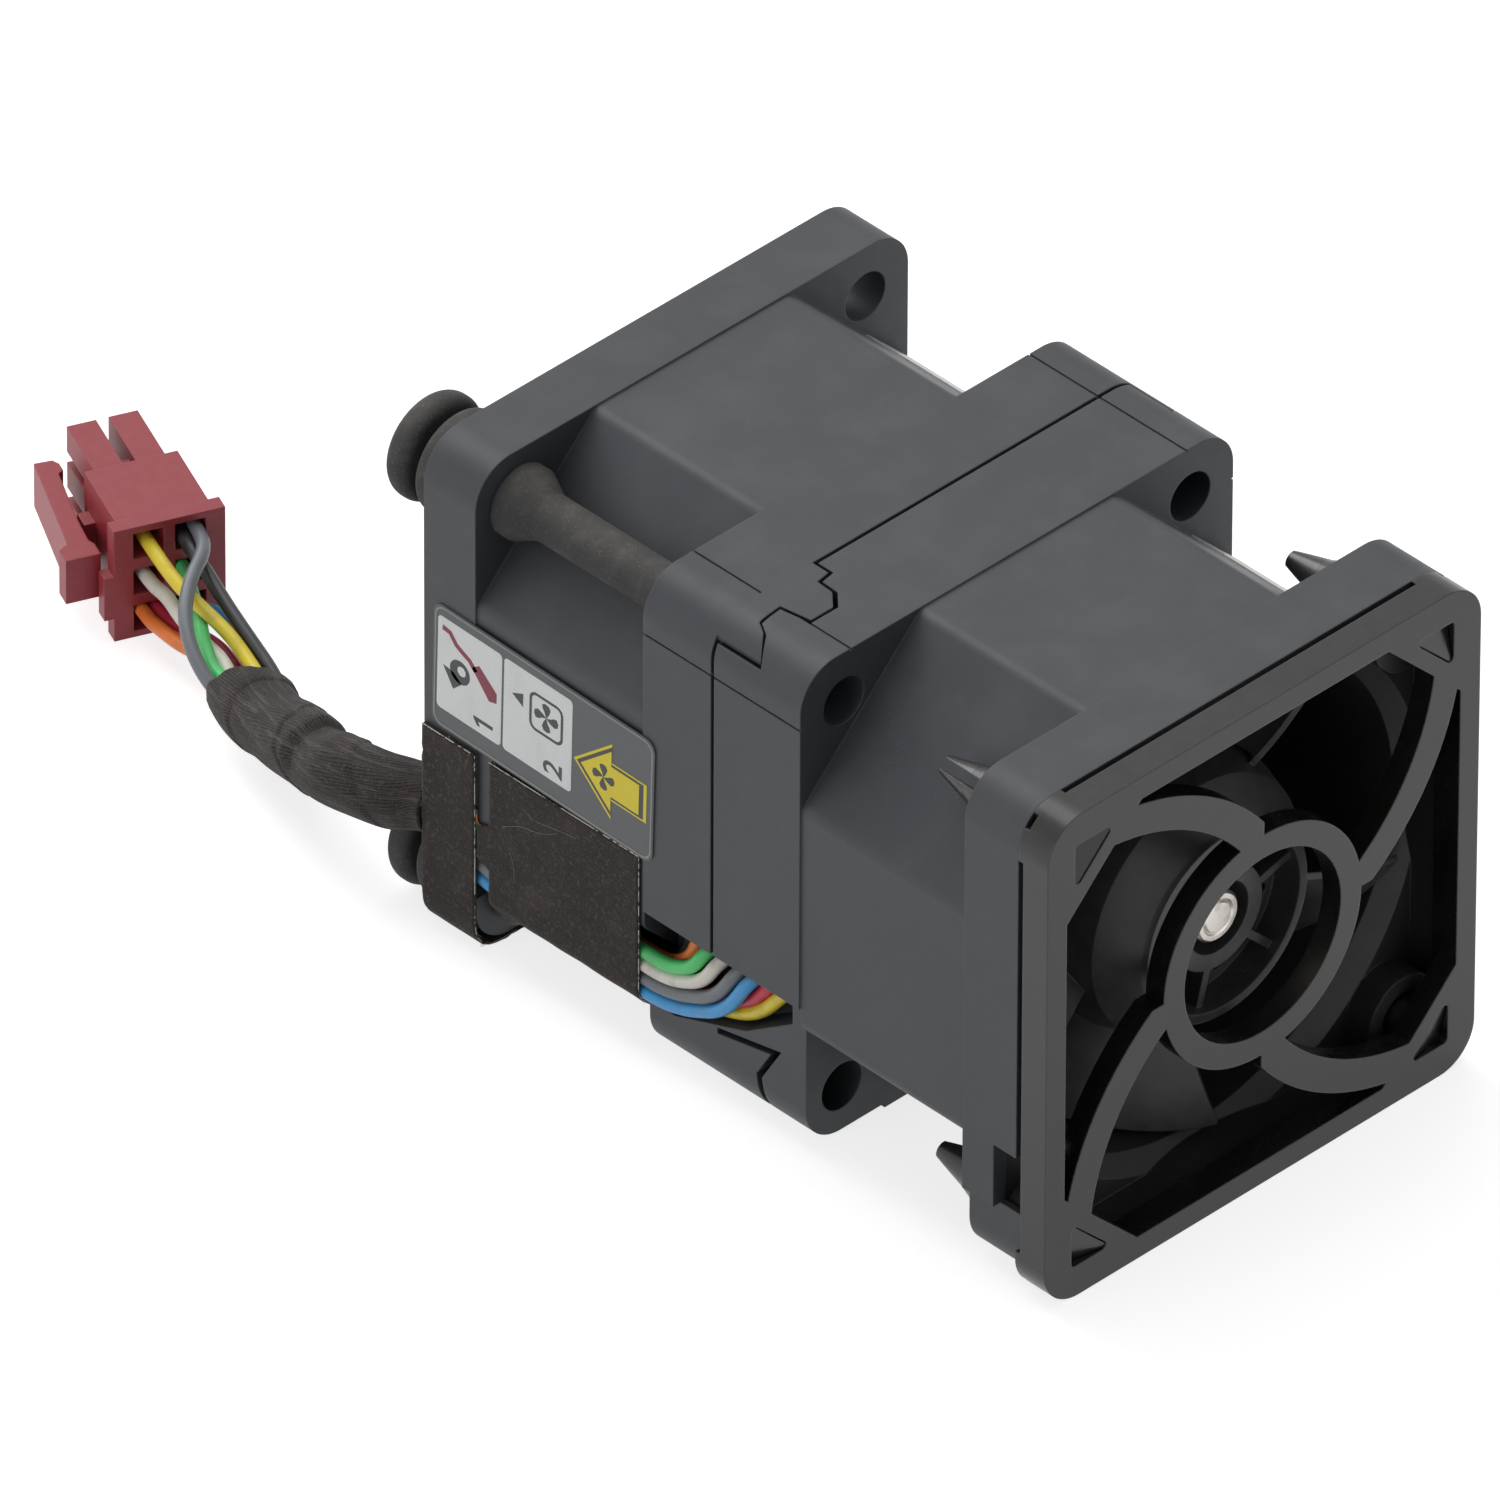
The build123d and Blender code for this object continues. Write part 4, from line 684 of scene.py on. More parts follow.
# Each lead, in millimetres: lane and height where it leaves the module, its place on the ring
# inside the sleeve (an angle in degrees, none for the one in the middle), its place in the open
# end (right, up), the points it is led through behind the sleeve, its cavity (column, row) and its
# offset there (right, up).
LEADS = {
    "grey": (OUTER_LANE, 8.85, 175, (-2.2, 0.6),
             [(-16.2, 52.5, 4.8), (-15.6, 54.5, 5.9), (-14.3, 56.4, 6.9), (-12.1, 58.1, 7.7),
              (-9.6, 59.3, 8.1)],
             (1, 2), (0.55, 0.2)),
    "green": (OUTER_LANE, 11.05, 125, (-1.29, 1.42),
              [(-15.1, 52.7, 4.3), (-13.6, 55.3, 4.8), (-11.8, 57.6, 5.0), (-10.9, 59.4, 5.6)],
              (1, 1), (-0.5, 0.3)),
    "orange": (MIDDLE_LANE, 10.35, None, (0.27, -0.07),
               [(-13.2, 53.5, 3.1), (-12.9, 55.9, 2.8), (-13.0, 58.2, 2.6), (-12.6, 60.4, 2.4)],
               (-1, 0), (-0.5, 0.4)),
    "white": (OUTER_LANE, 9.95, 230, (-1.07, 0.08),
              [(-13.6, 53.0, 4.2), (-12.8, 56.1, 3.8), (-12.3, 58.8, 4.1), (-11.7, 60.8, 4.6)],
              (-1, 1), (-0.2, 0.2)),
    "red": (MIDDLE_LANE, 9.25, 280, (0.67, -1.28),
            [(-11.9, 54.2, 2.8), (-11.6, 56.5, 3.1), (-11.6, 59.4, 2.4)],
            (-1, 0), (0.5, 0.3)),
    "yellow": (MIDDLE_LANE, 8.15, 70, (0.86, 0.76),
               [(-12.5, 51.9, 4.3), (-12.1, 54.4, 5.2), (-12.1, 57.0, 5.9), (-12.0, 59.5, 6.5)],
               (-1, 2), (0.0, 0.0)),
    "black": (INNER_LANE, 9.3, 20, (2.03, 0.11),
              [(-11.7, 50.6, 3.9), (-11.2, 53.5, 5.0), (-10.4, 56.6, 5.8), (-9.6, 59.3, 6.6)],
              (1, 2), (-0.5, -0.2)),
    "blue": (OUTER_LANE, 7.75, -30, (1.97, -1.13),
             [(-11.4, 52.5, 3.4), (-10.9, 54.9, 4.1), (-9.9, 57.4, 3.9), (-9.0, 59.4, 2.7)],
             (1, 0), (0.2, 0.2)),
}


def plug_point(x, y, z):
    """A point of the connector, given in its own millimetres from the wire face."""
    return PLUG_PLACE + Matrix.Rotation(PLUG_TURN, 3, "Z") @ (Vector((x, y, z)) * MM)


def sides_of(ahead):
    """Right and up for somebody who looks along a run."""
    right = ahead.cross(UP).normalized()
    return right, right.cross(ahead)


def lead_route(lane, top, turn, end_place, led_through, cavity, shift):
    """Control points of one lead from the module to its cavity."""
    ring = (0, 0)
    if turn is not None:
        ring = (RING_R * math.cos(math.radians(turn)), RING_R * math.sin(math.radians(turn)))
    points = [Vector((-lane * MM, SLEEVE_ROUTE[0].y, top * MM))]
    for before, here in zip(SLEEVE_ROUTE, SLEEVE_ROUTE[1:]):
        place = end_place if here is SLEEVE_ROUTE[-1] else ring
        right, up = sides_of((here - before).normalized())
        points.append(here + (right * place[0] + up * place[1]) * MM)
    points += [Vector(p) * MM for p in led_through]
    x = cavity[0] * CAVITY_PITCH / 2 + shift[0]
    z = PLUG_MIDDLE + (cavity[1] - 1) * CAVITY_PITCH + shift[1]
    return points + [plug_point(x, -0.6, z), plug_point(x, CAVITY_DEPTH, z)]


def add_spline(data, kind, points):
    """Adds a line through or along some points, in metres, to a curve."""
    spline = data.splines.new(kind)
    spline.points.add(len(points) - 1)
    for control, point in zip(spline.points, points):
        control.co = (*point, 1)
    return spline


def smooth_curve(name, points, radius=0.0):
    """A curve that takes its own smooth line between control points."""
    data = bpy.data.curves.new(name, "CURVE")
    data.dimensions = "3D"
    spline = add_spline(data, "NURBS", points)
    spline.order_u = 3
    spline.use_endpoint_u = True
    spline.resolution_u = 16
    data.bevel_depth = radius
    data.bevel_resolution = 5
    data.use_fill_caps = True
    return link(bpy.data.objects.new(name, data))


def line_points(curve):
    """The points that a curve without thickness draws."""
    mesh = bpy.data.meshes.new_from_object(curve)
    points = [v.co.copy() for v in mesh.vertices]
    bpy.data.meshes.remove(mesh)
    return points


def length_of(points):
    """Length of a line of points."""
    return sum((b - a).length for a, b in zip(points, points[1:]))


routes = {name: lead_route(*facts) for name, facts in LEADS.items()}
for name, route in routes.items():
    line = smooth_curve("line", route)
    length_of(line_points(line))
    bpy.data.objects.remove(line)

for name, route in routes.items():
    lead = smooth_curve("soft_lead_" + name, route, WIRE_R)
    lead.data.materials.append(finishes["wire_" + name])
    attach(lead, "frame")
    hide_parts(f"lead_{name}_free")
    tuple(route[0])
print(len(routes), "leads laid")

# %% [markdown]
# ## The cloth sleeve
# A long strip of harness cloth is wound round the leads. It is made ring by ring along its middle
# line. The radius steps up where a new turn starts and falls slowly along the turn, which gives
# slanting edges. On its upper side the cloth has bunched up into two long rolls that meet in a
# notch, and shallow folds run along it. At the module it lies flat against the flange. Towards its
# open end the sleeve flattens and tips, because the leads lie side by side there. Two skins make
# its wall, so that its inside shows in the opening.

# %% The sleeve
SLEEVE_R = 2.1 * MM
SLEEVE_RINGS = 200
SLEEVE_SIDES = 96
SLEEVE_WALL = 0.25 * MM
SLEEVE_START = 27.25 * MM
TURN_PITCH = 8.2 * MM
TURN_STEP = 0.15 * MM
END_WIDTH, END_HEIGHT, END_FROM = 1.42, 0.92, 0.45
MOUTH_WIDTH, MOUTH_TO = 0.86, 0.14
SEAT_TO = 0.12
END_TIP = math.radians(22)
END_RAG = 0.35 * MM
ROLLS = ((0.05, 0.33, 0.445, 0.42 * MM), (0.455, 0.50, 0.82, 0.58 * MM))
FOLDS, FOLD_DEPTH = 9, 0.06 * MM


def resampled(points, count):
    """Count + 1 points at equal distances along a line."""
    total = length_of(points)
    made, index, walked = [], 0, 0.0
    for step in range(count + 1):
        goal = total * step / count
        while index < len(points) - 2 and walked + (points[index + 1] - points[index]).length < goal:
            walked += (points[index + 1] - points[index]).length
            index += 1
        run = points[index + 1] - points[index]
        made.append(points[index] + run * min(1.0, (goal - walked) / run.length))
    return made


def directions(points):
    """Direction of the line at each of its points."""
    spread = [points[0]] + points + [points[-1]]
    return [(after - before).normalized() for before, after in zip(spread, spread[2:])]


def quads(name, rows, columns, place, uv, around=False):
    """A grid of quads. place(row, column) gives each vertex and uv(row, column) its flat place."""
    mesh = bpy.data.meshes.new(name)
    width = columns if around else columns + 1
    spots = [place(r, c) for r in range(rows + 1) for c in range(width)]
    faces = []
    flats = []
    for r in range(rows):
        for c in range(columns):
            after = (c + 1) % width
            faces.append((r * width + c, r * width + after, (r + 1) * width + after, (r + 1) * width + c))
            flats.extend((uv(r, c), uv(r, c + 1), uv(r + 1, c + 1), uv(r + 1, c)))
    mesh.from_pydata(spots, [], faces)
    layer = mesh.uv_layers.new(name="cloth")
    for corner, flat in zip(layer.data, flats):
        corner.uv = flat
    mesh.shade_smooth()
    return link(bpy.data.objects.new(name, mesh))


def smooth_step(value, low, high):
    """0 below low, 1 above high and a smooth rise between."""
    share = min(1.0, max(0.0, (value - low) / (high - low)))
    return share * share * (3 - 2 * share)


def sleeve_radius(share, walked, angle):
    """How far the cloth stands from the middle line, at a place along it and an angle round it."""
    turn = (walked / TURN_PITCH + angle / (2 * math.pi)) % 1.0
    overlap = smooth_step(turn, 0.0, 0.05) * (1 - turn) * TURN_STEP
    around = Vector((math.cos(angle), math.sin(angle), 0))
    ripple = 0.09 * MM * noise.noise(around * 1.2 + Vector((0, 0, share * 6)))
    wrinkle = 0.05 * MM * noise.noise(around * 5 + Vector((4, 0, share * 5)))
    upper = smooth_step(math.sin(angle - 0.3), -0.1, 0.9)
    rolls = sum(height * smooth_step(share, start, crest) * (1 - smooth_step(share, crest, end))
                for start, crest, end, height in ROLLS)
    lean = noise.noise(Vector((share * 4, 2, 0)))
    folds = FOLD_DEPTH * math.sin(FOLDS * angle + 5 * share + 3 * lean)
    return SLEEVE_R + overlap + ripple + wrinkle + (rolls + folds) * upper


def cloth_sleeve():
    """The wound cloth round the leads."""
    start = Vector((SLEEVE_ROUTE[0].x, SLEEVE_START, SLEEVE_ROUTE[0].z))
    guide = smooth_curve("guide", [start] + SLEEVE_ROUTE)
    line = resampled(line_points(guide), SLEEVE_RINGS)
    bpy.data.objects.remove(guide)
    total = length_of(line)
    ahead = directions(line)

    def place(row, column):
        share = row / SLEEVE_RINGS
        angle = 2 * math.pi * column / SLEEVE_SIDES
        right, up = sides_of(ahead[row])
        radius = sleeve_radius(share, share * total, angle)
        flat = smooth_step(share, END_FROM, 1.0)
        opened = MOUTH_WIDTH + (1 - MOUTH_WIDTH) * smooth_step(share, 0.0, MOUTH_TO)
        wide = (1 + (END_WIDTH - 1) * flat) * opened
        high = 1 + (END_HEIGHT - 1) * flat
        tip = -END_TIP * flat
        x, z = radius * wide * math.cos(angle), radius * high * math.sin(angle)
        c, s = math.cos(tip), math.sin(tip)
        across = right * (x * c - z * s) + up * (x * s + z * c)
        across.y *= smooth_step(share, 0.0, SEAT_TO)
        ragged = END_RAG * noise.noise(Vector((math.cos(angle) * 3, math.sin(angle) * 3, 9))) * share ** 12
        return line[row] + ahead[row] * ragged + across

    def uv(row, column):
        return (2 * math.pi * SLEEVE_R * column / SLEEVE_SIDES, total * row / SLEEVE_RINGS)

    sleeve = quads("woven_sleeve", SLEEVE_RINGS, SLEEVE_SIDES, place, uv, around=True)
    wall = sleeve.modifiers.new("wall", "SOLIDIFY")
    wall.thickness = SLEEVE_WALL
    wall.offset = -1.0
    sleeve.data.materials.append(finishes["sleeve_cloth"])
    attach(sleeve, "frame")
    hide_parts("harness_sleeve")
    return total


print("sleeve length in mm", round(cloth_sleeve() / MM, 1))

# %% [markdown]
# ## Two pieces of cloth tape
# One tape holds the leads in the lower pocket, and the other wraps the rear flange's left edge.
# Each is a strip laid along a bent path: straight runs, with a short rounded bend at each fold.
# Low swellings in the pocket's tape show where leads lie under it, and the cut edges are never quite
# straight.

# %% Tape strips
TAPE_TOP = 16.9
TAPE_WALL = 0.24 * MM
TAPE_STEP = 0.22
LEAD_RIDGE, RIDGE_WIDTH = 0.05, 0.5
EDGE_WANDER, TAPE_RIPPLE = 0.10, 0.05


def rounded(points, cut):
    """A path in millimetres with each corner cut back and bent."""
    path = [Vector(points[0])]
    for before, corner, after in zip(points, points[1:], points[2:]):
        corner = Vector(corner)
        start = corner + (Vector(before) - corner).normalized() * cut
        end = corner + (Vector(after) - corner).normalized() * cut
        path += [start.lerp(corner, t).lerp(corner.lerp(end, t), t) for t in (0, 0.25, 0.5, 0.75, 1)]
    return path + [Vector(points[-1])]


def tape(name, node, path, width, front, rear, seed, ridges=()):
    """A strip of cloth along a path across the module. Its front edge lies at one place along Y, and
    rear says where the rear edge is for each point (x, z) of the path."""
    span = length_of(path)
    rows = round(span / TAPE_STEP)
    columns = round(width / TAPE_STEP)
    line = resampled(path, rows)
    ahead = directions(line)

    def place(row, column):
        at = line[row]
        y = front + (rear(at) - front) * column / columns
        border = noise.noise(Vector((row * 0.35, seed, 0)))
        if column in (0, columns):
            y += EDGE_WANDER * border
        swell = sum(LEAD_RIDGE * math.exp(-((at.y - ridge) / RIDGE_WIDTH) ** 2) for ridge in ridges)
        ripple = TAPE_RIPPLE * (1 + noise.noise(Vector((at.x * 0.5, y * 0.4, at.y * 0.5 + seed))))
        out = Vector((-ahead[row].y, ahead[row].x)) * -1
        spot = at + out * (swell + ripple)
        return Vector((spot.x, y, spot.y)) * MM

    def uv(row, column):
        return (column * TAPE_STEP * MM, row * TAPE_STEP * MM)

    strip = quads(name, rows, columns, place, uv)
    wall = strip.modifiers.new("wall", "SOLIDIFY")
    wall.thickness = TAPE_WALL
    wall.offset = 0.0
    strip.data.materials.append(finishes["tape_cloth"])
    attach(strip, "frame")
    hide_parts(node)
    print(name, "span", round(span, 1), "mm,", len(strip.data.polygons), "faces")


# %% The two tapes
POCKET_SIDE = 19.95
POCKET_BASE = 2.14
POCKET_FRONT, POCKET_REAR, POCKET_WIDTH = 6.75, 20.9, 14.2
POCKET_PATH = rounded([(-POCKET_SIDE, TAPE_TOP), (-POCKET_SIDE, 5.05), (-16.7, POCKET_BASE),
                       (-11.05, POCKET_BASE), (-9.86, 0.95)], 0.7)
LEADS_UNDER_TAPE = (8.7, 7.6, 6.4, 5.4)
TAB_RISE, TAB_FALL, TAB_REACH = (7.9, 8.5), (11.0, 11.6), 1.15
CUT_RISE, CUT_REACH = (-18.9, -18.4), 1.6
FLANGE_SIDE = 20.12
FLANGE_BASE = 0.22
FLANGE_FRONT, FLANGE_REAR, FLANGE_WIDTH = 22.2, 27.15, 4.95
FLANGE_PATH = rounded([(-FLANGE_SIDE, TAPE_TOP), (-FLANGE_SIDE, FLANGE_BASE), (-13.0, FLANGE_BASE)], 2.6)


def pocket_rear(at):
    """The pocket tape's rear edge: a tab over the leads, and cut back round the isolator below."""
    tab = smooth_step(at.y, *TAB_RISE) * (1 - smooth_step(at.y, *TAB_FALL))
    return POCKET_REAR + TAB_REACH * tab - CUT_REACH * smooth_step(at.x, *CUT_RISE)


tape("pocket_tape_cloth", "pocket_tape", POCKET_PATH, POCKET_WIDTH, POCKET_FRONT, pocket_rear, seed=3.0,
     ridges=LEADS_UNDER_TAPE)
tape("flange_tape_cloth", "flange_tape", FLANGE_PATH, FLANGE_WIDTH, FLANGE_FRONT, lambda at: FLANGE_REAR,
     seed=8.0)

# %% [markdown]
# ## Cut edges and frayed threads
# Where the tape was cut, the pale ends of its threads show as a fine broken line, and a few have
# come loose. The line is a hair-thin strand along the edge, dark and pale in turn. Each loose
# thread is a thin tube of less than a millimetre that starts in the edge and wanders off. A seeded
# random generator gives the same threads every time. Three longer hairs lie on the pocket's tape,
# where the photograph shows them.

# %% Threads
THREAD_R = 0.016 * MM
THREAD_STEPS = 6
EDGE_R = 0.036 * MM
HAIR_R, HAIR_OUT = 0.013 * MM, 0.21


def thread(mesh_parts, start, aim, length, bend, chance):
    """Adds one short thread as a three-sided tube."""
    points = [start]
    heading = aim.normalized()
    for _ in range(THREAD_STEPS):
        heading = (heading + Vector([chance.uniform(-bend, bend) for _ in range(3)])).normalized()
        points.append(points[-1] + heading * length / THREAD_STEPS)
    spots, faces = mesh_parts
    first = len(spots)
    for index, (point, ahead) in enumerate(zip(points, directions(points))):
        side = ahead.orthogonal().normalized()
        for corner in range(3):
            turn = Quaternion(ahead, 2 * math.pi * corner / 3)
            spots.append(point + turn @ side * THREAD_R)
        if index:
            low = first + (index - 1) * 3
            faces += [(low + c, low + (c + 1) % 3, low + 3 + (c + 1) % 3, low + 3 + c) for c in range(3)]
    faces += [(first + 2, first + 1, first), (len(spots) - 3, len(spots) - 2, len(spots) - 1)]


def frayed_threads(name, spots_on_edge, aim, count, longest, seed):
    """A tuft of threads along an edge, given as a line of points in millimetres."""
    chance = random.Random(seed)
    parts = ([], [])
    for _ in range(count):
        index = chance.randrange(len(spots_on_edge) - 1)
        start = spots_on_edge[index].lerp(spots_on_edge[index + 1], chance.random()) * MM
        heading = Vector(aim) + Vector([chance.uniform(-0.5, 0.5) for _ in range(3)])
        thread(parts, start, heading, chance.uniform(0.25, 1.0) * longest * MM, 0.35, chance)
    mesh = bpy.data.meshes.new(name)
    mesh.from_pydata(parts[0], [], parts[1])
    mesh.materials.append(THREAD_FINISH)
    tuft = link(bpy.data.objects.new(name, mesh))
    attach(tuft, "frame")


def edge_line(path, y):
    """A tape's cut edge as points in millimetres."""
    return [Vector((p.x, y, p.y)) for p in path]


def cut_edge(name, points):
    """The pale broken line of a cut edge, along points in millimetres."""
    data = bpy.data.curves.new(name, "CURVE")
    data.dimensions = "3D"
    add_spline(data, "POLY", [point * MM for point in points])
    data.bevel_depth = EDGE_R
    data.bevel_resolution = 1
    data.materials.append(EDGE_FINISH)
    edge = link(bpy.data.objects.new(name, data))
    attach(edge, "frame")


def cut_threads():
    """Thread ends side by side, some pale and some lost in the dark cloth."""
    f = Finish("cut_thread_ends", 0.9, specular=0.1)
    ends = f.between(f.noise(0.42 * MM, 1, stretch=(0.3, 1, 1)), 0.38, 0.52)
    return f.done(f.mix(ends, colour(70, 66, 63), colour(226, 220, 210)))


# %% Edges and loose hairs
EDGE_FINISH = cut_threads()
EDGE_AHEAD, EDGE_OUT, TOP_RISE = 0.03, 0.17, 0.05

for tape_name, path, front, rear, side in (
        ("pocket", POCKET_PATH, POCKET_FRONT - EDGE_AHEAD, POCKET_REAR, POCKET_SIDE),
        ("flange", FLANGE_PATH, FLANGE_FRONT - EDGE_AHEAD, FLANGE_REAR, FLANGE_SIDE)):
    cut_edge(f"{tape_name}_tape_front_edge", [Vector((p.x - 0.1, front, p.y)) for p in path[:9]])
    top_line = [(-side - EDGE_OUT, front + (rear - front) * i / 8, TAPE_TOP + TOP_RISE) for i in range(9)]
    cut_edge(f"{tape_name}_tape_top_edge", [Vector(p) for p in top_line])

# Each tuft: the edge it grows on, its direction, how many threads, the longest and the seed.
TUFTS = {
    "pocket_tape_top_fray": ([Vector((-20.05, y, TAPE_TOP)) for y in (7, 20.8)], (-0.5, 0, 0.5), 16, 0.45, 1),
    "pocket_tape_front_fray": (edge_line(POCKET_PATH[:8], POCKET_FRONT), (-0.4, -1, 0), 26, 0.55, 2),
    "flange_tape_top_fray": ([Vector((-20.2, y, TAPE_TOP)) for y in (22.3, 27)], (-0.5, 0, 0.5), 8, 0.45, 4),
    "flange_tape_front_fray": (edge_line(FLANGE_PATH[:5], FLANGE_FRONT), (-0.5, -1, 0), 22, 0.5, 5),
}
for name, facts in TUFTS.items():
    frayed_threads(name, *facts)

LOOSE_HAIRS = {
    "first": ((17.6, 14.9), (16.6, 14.4), (14.8, 14.9), (12.6, 15.2)),
    "second": ((19.6, 12.3), (18.0, 13.4), (16.0, 13.6), (14.4, 14.6)),
    "third": ((18.9, 10.6), (18.3, 9.4), (18.5, 8.2)),
}
for name, spots in LOOSE_HAIRS.items():
    hair_points = [Vector((-POCKET_SIDE - HAIR_OUT, y, z)) * MM for y, z in spots]
    hair = smooth_curve(f"{name}_loose_hair", hair_points, HAIR_R)
    hair.data.materials.append(THREAD_FINISH)
    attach(hair, "frame")
print("cut edges and hairs laid")

# %% [markdown]
# ## Print on the sticker
# The sticker explains how the module is taken out. Its print is drawn here as plain shapes of our
# own: a white panel numbered 1 with a cable and its plug, a white panel numbered 2 with a fan in a
# frame, and a yellow mark that points along the air. Flat curves with a hair's thickness are crisp
# from any distance, where a picture would blur.

# %% The sticker's plane
STICKER_MIDDLE = Vector((-20.12, 15.75, 22.3)) * MM
STICKER_TILT = math.radians(1.5)
INK = 0.012 * MM
DIGIT_SPREAD = 0.03 * MM


def sticker_plane(right, up, lift):
    """A place on the sticker, right and up from its middle in millimetres, facing out."""
    spin = Matrix.Rotation(STICKER_TILT, 4, "X")
    axes = Matrix(((0, 0, -1, 0), (-1, 0, 0, 0), (0, 1, 0, 0), (0, 0, 0, 1)))
    place = Matrix.Translation((right * MM, up * MM, lift * INK))
    return Matrix.Translation(STICKER_MIDDLE) @ spin @ axes @ place


def on_sticker(piece, right, up, lift, finish):
    """Finishes a piece of print and lays it on the sticker."""
    piece.data.materials.append(finish)
    piece.matrix_world = sticker_plane(right, up, lift)
    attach(piece, "frame")
    return piece


def shape(name, outlines, right, up, lift, finish):
    """A flat shape from closed outlines in millimetres; one inside another is a hole."""
    data = bpy.data.curves.new(name, "CURVE")
    data.dimensions = "2D"
    data.fill_mode = "BOTH"
    data.extrude = INK / 2
    for outline in outlines:
        add_spline(data, "POLY", [(x * MM, y * MM, 0) for x, y in outline]).use_cyclic_u = True
    return on_sticker(link(bpy.data.objects.new(name, data)), right, up, lift, finish)


def rounded_box(width, height, corner, middle=(0, 0)):
    """Outline of a rectangle with round corners."""
    outline = []
    for turn, (sx, sy) in enumerate(((1, 1), (-1, 1), (-1, -1), (1, -1))):
        centre = (middle[0] + sx * (width / 2 - corner), middle[1] + sy * (height / 2 - corner))
        for step in range(7):
            angle = math.pi / 2 * (turn + step / 6)
            outline.append((centre[0] + corner * math.cos(angle), centre[1] + corner * math.sin(angle)))
    return outline


def digit(name, text, right, up, lift, finish):
    """A plain number that lies on its side."""
    data = bpy.data.curves.new(name, "FONT")
    data.body = text
    data.size = DIGIT_SIZE * MM
    data.align_x = "CENTER"
    data.align_y = "CENTER"
    data.extrude = INK / 2
    data.offset = DIGIT_SPREAD
    piece = on_sticker(link(bpy.data.objects.new(name, data)), right, up, lift, finish)
    piece.matrix_world = piece.matrix_world @ Matrix.Rotation(math.pi / 2, 4, "Z")
    return piece


def fan_blades(radius, count):
    """Outlines of a small fan: broad blades that meet in the middle and lean the same way."""
    blade = ((0, 0), (0.30, -0.20), (0.70, -0.34), (0.94, -0.20), (1.0, 0.10), (0.86, 0.36), (0.60, 0.30),
             (0.34, 0.12))
    blades = []
    for number in range(count):
        c, s = math.cos(2 * math.pi * number / count), math.sin(2 * math.pi * number / count)
        blades.append([(radius * (x * c - y * s), radius * (x * s + y * c)) for x, y in blade])
    return blades


def swept_line(points, width):
    """Outline of a line of even width through some points."""
    near, far = [], []
    spread = [points[0]] + points + [points[-1]]
    for before, here, after in zip(spread, points, spread[2:]):
        long = math.hypot(after[0] - before[0], after[1] - before[1])
        side = (-(after[1] - before[1]) / long * width / 2, (after[0] - before[0]) / long * width / 2)
        near.append((here[0] + side[0], here[1] + side[1]))
        far.append((here[0] - side[0], here[1] - side[1]))
    return near + far[::-1]


def swelling_arrow(size):
    """A broad block arrow that points left, size millimetres long."""
    head, half, shaft = 0.52 * size, 0.46 * size, 0.23 * size
    return [(-size / 2, 0), (head - size / 2, half), (head - size / 2, shaft), (size / 2, shaft),
            (size / 2, -shaft), (head - size / 2, -shaft), (head - size / 2, -half)]


# %% Panels and numbers
DIGIT_SIZE = 2.5
PANEL_UP, PANEL_HEIGHT = 0.35, 7.7
PANELS = {"first": (-7.0, 6.1), "second": (-0.5, 6.5)}

# The 1 has a flag and no foot, so it is drawn as an outline. The 2 comes from the font.
FIRST_DIGIT = [(-0.95, -0.02), (-0.95, 0.17), (0.9, 0.17), (0.9, -0.12), (-0.5, -0.12), (-0.32, -0.5),
               (-0.58, -0.5)]

shape("sticker_border", [rounded_box(20.7, 9.9, 0.85), rounded_box(20.45, 9.65, 0.75)], 0, 0, 1.0, PRINT_EDGE)
for name, (right, width) in PANELS.items():
    shape(f"{name}_panel", [rounded_box(width, PANEL_HEIGHT, 0.35)], right, PANEL_UP, 1.0, PRINT_WHITE)
shape("first_number", [FIRST_DIGIT], -5.6, -2.5, 2.0, PRINT_DARK)
digit("second_number", "2", 1.1, -2.5, 2.0, PRINT_DARK)
print("panels", sorted(PANELS))

# %% Pictures of the two steps
CABLE = [(-2.6, 3.0), (-1.9, 2.9), (-1.3, 2.2), (-0.7, 1.9), (0.0, 1.6), (0.6, 1.0)]
FIRST_AT, FAN_AT, POINTER_AT = (-7.0, PANEL_UP), (0.3, PANEL_UP + 1.0), (-2.4, PANEL_UP + 1.2)
PICTURES = {
    "printed_cable": ([swept_line(CABLE, 0.42)], FIRST_AT, PRINT_RED),
    "printed_plug": ([[(0.2, 1.2), (0.9, 1.7), (2.6, 0.3), (2.6, -0.5), (1.9, -0.7)]], FIRST_AT, PRINT_RED),
    "printed_pull_ring": ([rounded_box(1.9, 1.9, 0.94, (-0.9, 0.1)),
                           rounded_box(0.8, 0.8, 0.39, (-0.75, 0.25))], FIRST_AT, PRINT_DARK),
    "printed_grip": ([[(-1.5, -0.2), (-2.5, -0.1), (-1.5, -1.6), (-0.7, -0.8)]], FIRST_AT, PRINT_DARK),
    "printed_frame": ([rounded_box(3.2, 3.2, 0.65), rounded_box(2.75, 2.75, 0.45)], FAN_AT, PRINT_DARK),
    "printed_fan": (fan_blades(1.15, 4), FAN_AT, PRINT_DARK),
    "printed_pointer": ([[(-0.55, 0.1), (0.5, 0.6), (0.5, -0.5)]], POINTER_AT, PRINT_DARK),
}
for name, (outlines, at, finish) in PICTURES.items():
    shape(name, outlines, *at, 2.0, finish)
print("pictures", sorted(PICTURES))

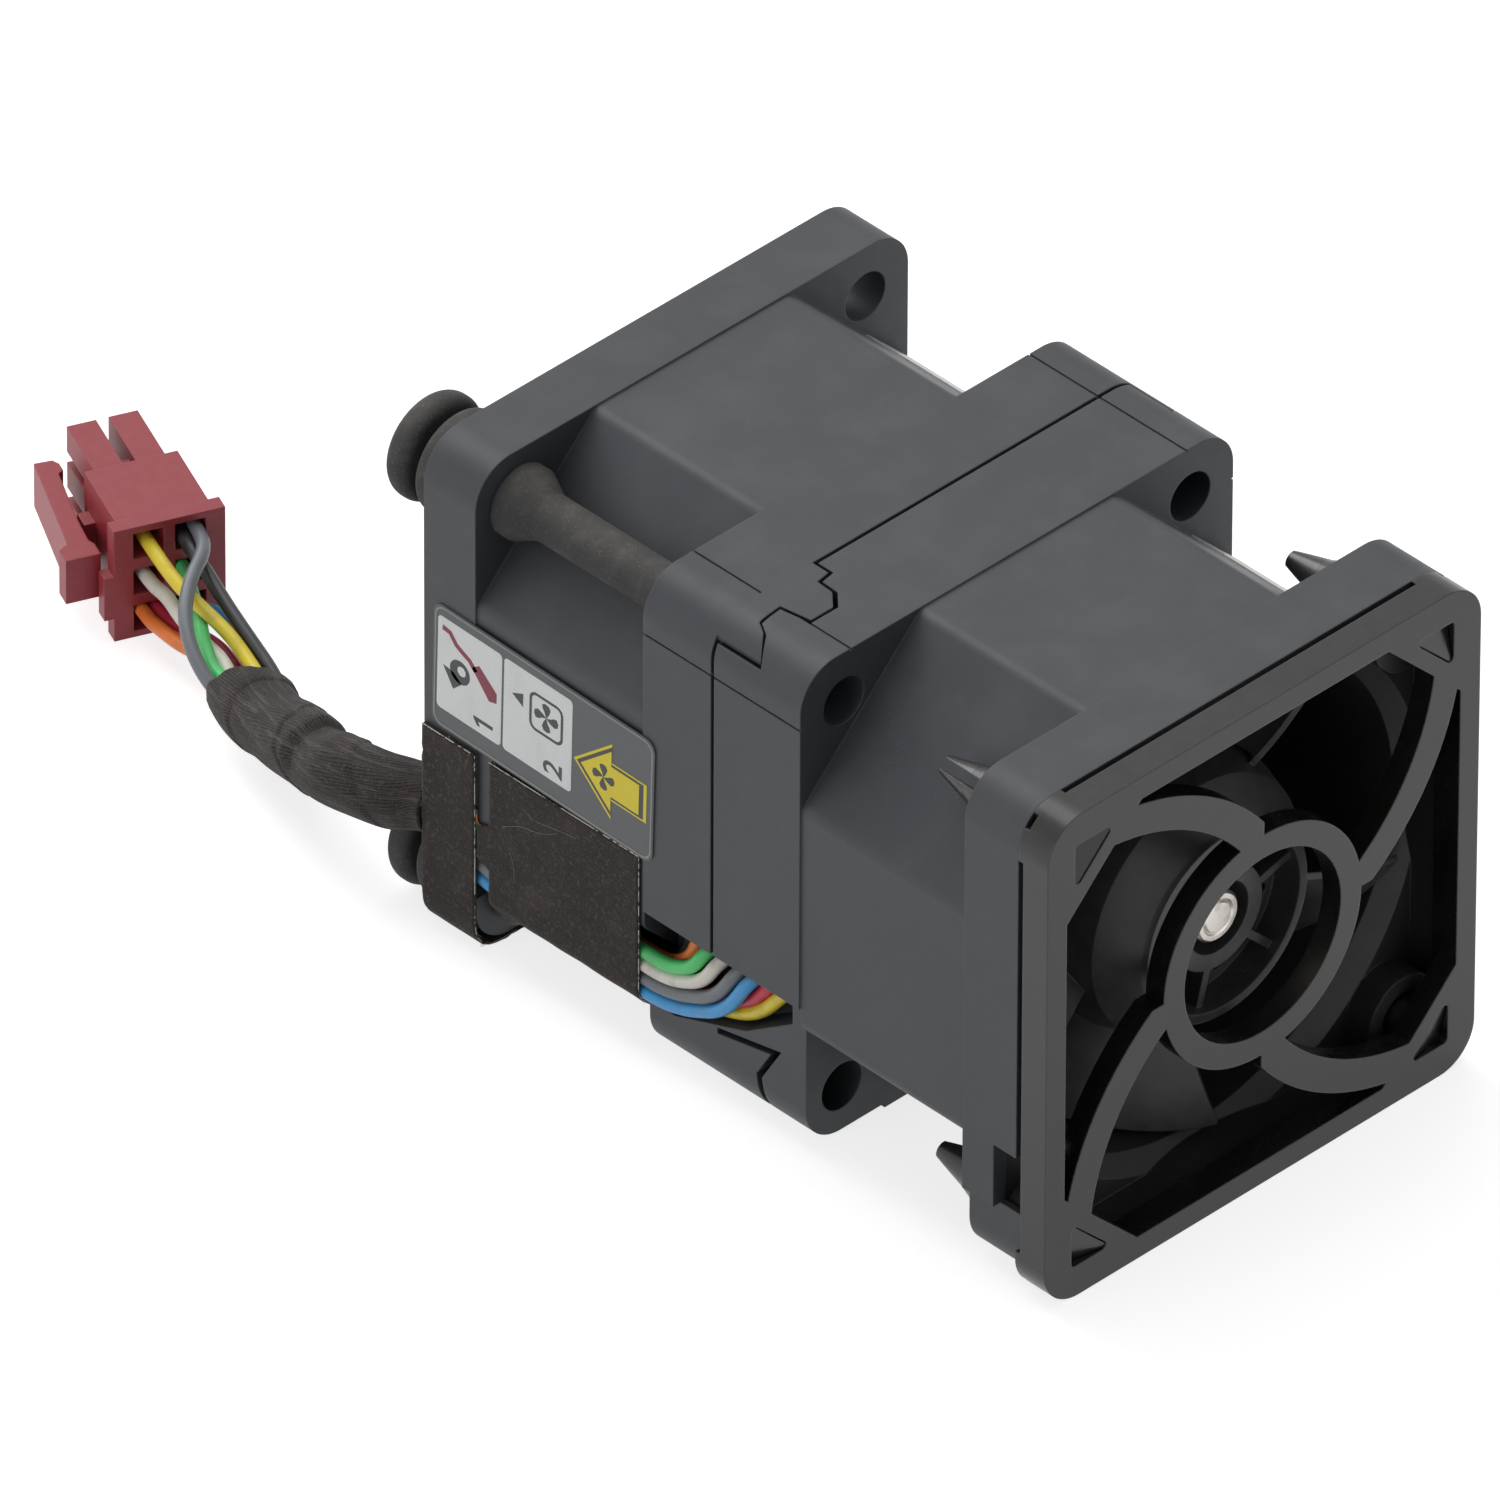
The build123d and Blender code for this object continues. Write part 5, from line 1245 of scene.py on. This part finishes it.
# %% The yellow mark
MARK_AT = (6.4, -0.35)
MARK_LAYERS = (("mark_border", 6.9, PRINT_YELLOW), ("mark_line", 6.3, PRINT_DARK),
               ("mark_middle", 5.5, PRINT_YELLOW))
for layer, (name, size, finish) in enumerate(MARK_LAYERS):
    shape(name, [swelling_arrow(size)], *MARK_AT, 1.0 + layer, finish)
shape("mark_fan", fan_blades(1.05, 4), MARK_AT[0] - 0.6, MARK_AT[1], 4.0, PRINT_DARK)
print("sticker printed")

# %% [markdown]
# ## Corners of the guard
# In each corner of the guard's face is a shallow three-sided dimple over a snap pin. Its floor
# slopes, deep at the corner and level with the face at the long side, so that it catches the light
# as a small bright facet. Four wedges, each of six vertices, fill the straight-walled recesses of
# the solid with that slope.

# %% Sloping dimples
DIMPLE_EDGE, DIMPLE_LEG = 17.45 * MM, 3.45 * MM
GUARD_FACE = -31.55 * MM
DIMPLE_FLOOR, DIMPLE_DEEP, DIMPLE_SHALLOW = 1.08 * MM, 0.75 * MM, 0.06 * MM


def dimple_wedge(name, turn):
    """A three-sided wedge in one corner recess, turned to its corner."""
    inner = DIMPLE_EDGE - DIMPLE_LEG
    flat = [(DIMPLE_EDGE, DIMPLE_EDGE), (inner, DIMPLE_EDGE), (DIMPLE_EDGE, inner)]
    depths = (DIMPLE_DEEP, DIMPLE_SHALLOW, DIMPLE_SHALLOW)
    spots = []
    for level in (depths, (DIMPLE_FLOOR,) * 3):
        for (x, z), depth in zip(flat, level):
            c, s = math.cos(turn), math.sin(turn)
            spots.append((x * c - z * s, GUARD_FACE + depth, x * s + z * c + MIDDLE_Z))
    mesh = bpy.data.meshes.new(name)
    mesh.from_pydata(spots, [], [(0, 1, 2), (5, 4, 3), (0, 3, 4, 1), (1, 4, 5, 2), (2, 5, 3, 0)])
    mesh.materials.append(finishes["guard_plastic"])
    wedge = link(bpy.data.objects.new(name, mesh))
    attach(wedge, "frame")


for number in range(4):
    dimple_wedge(f"guard_dimple_{number}", math.pi / 2 * number)
print("four dimples sloped")
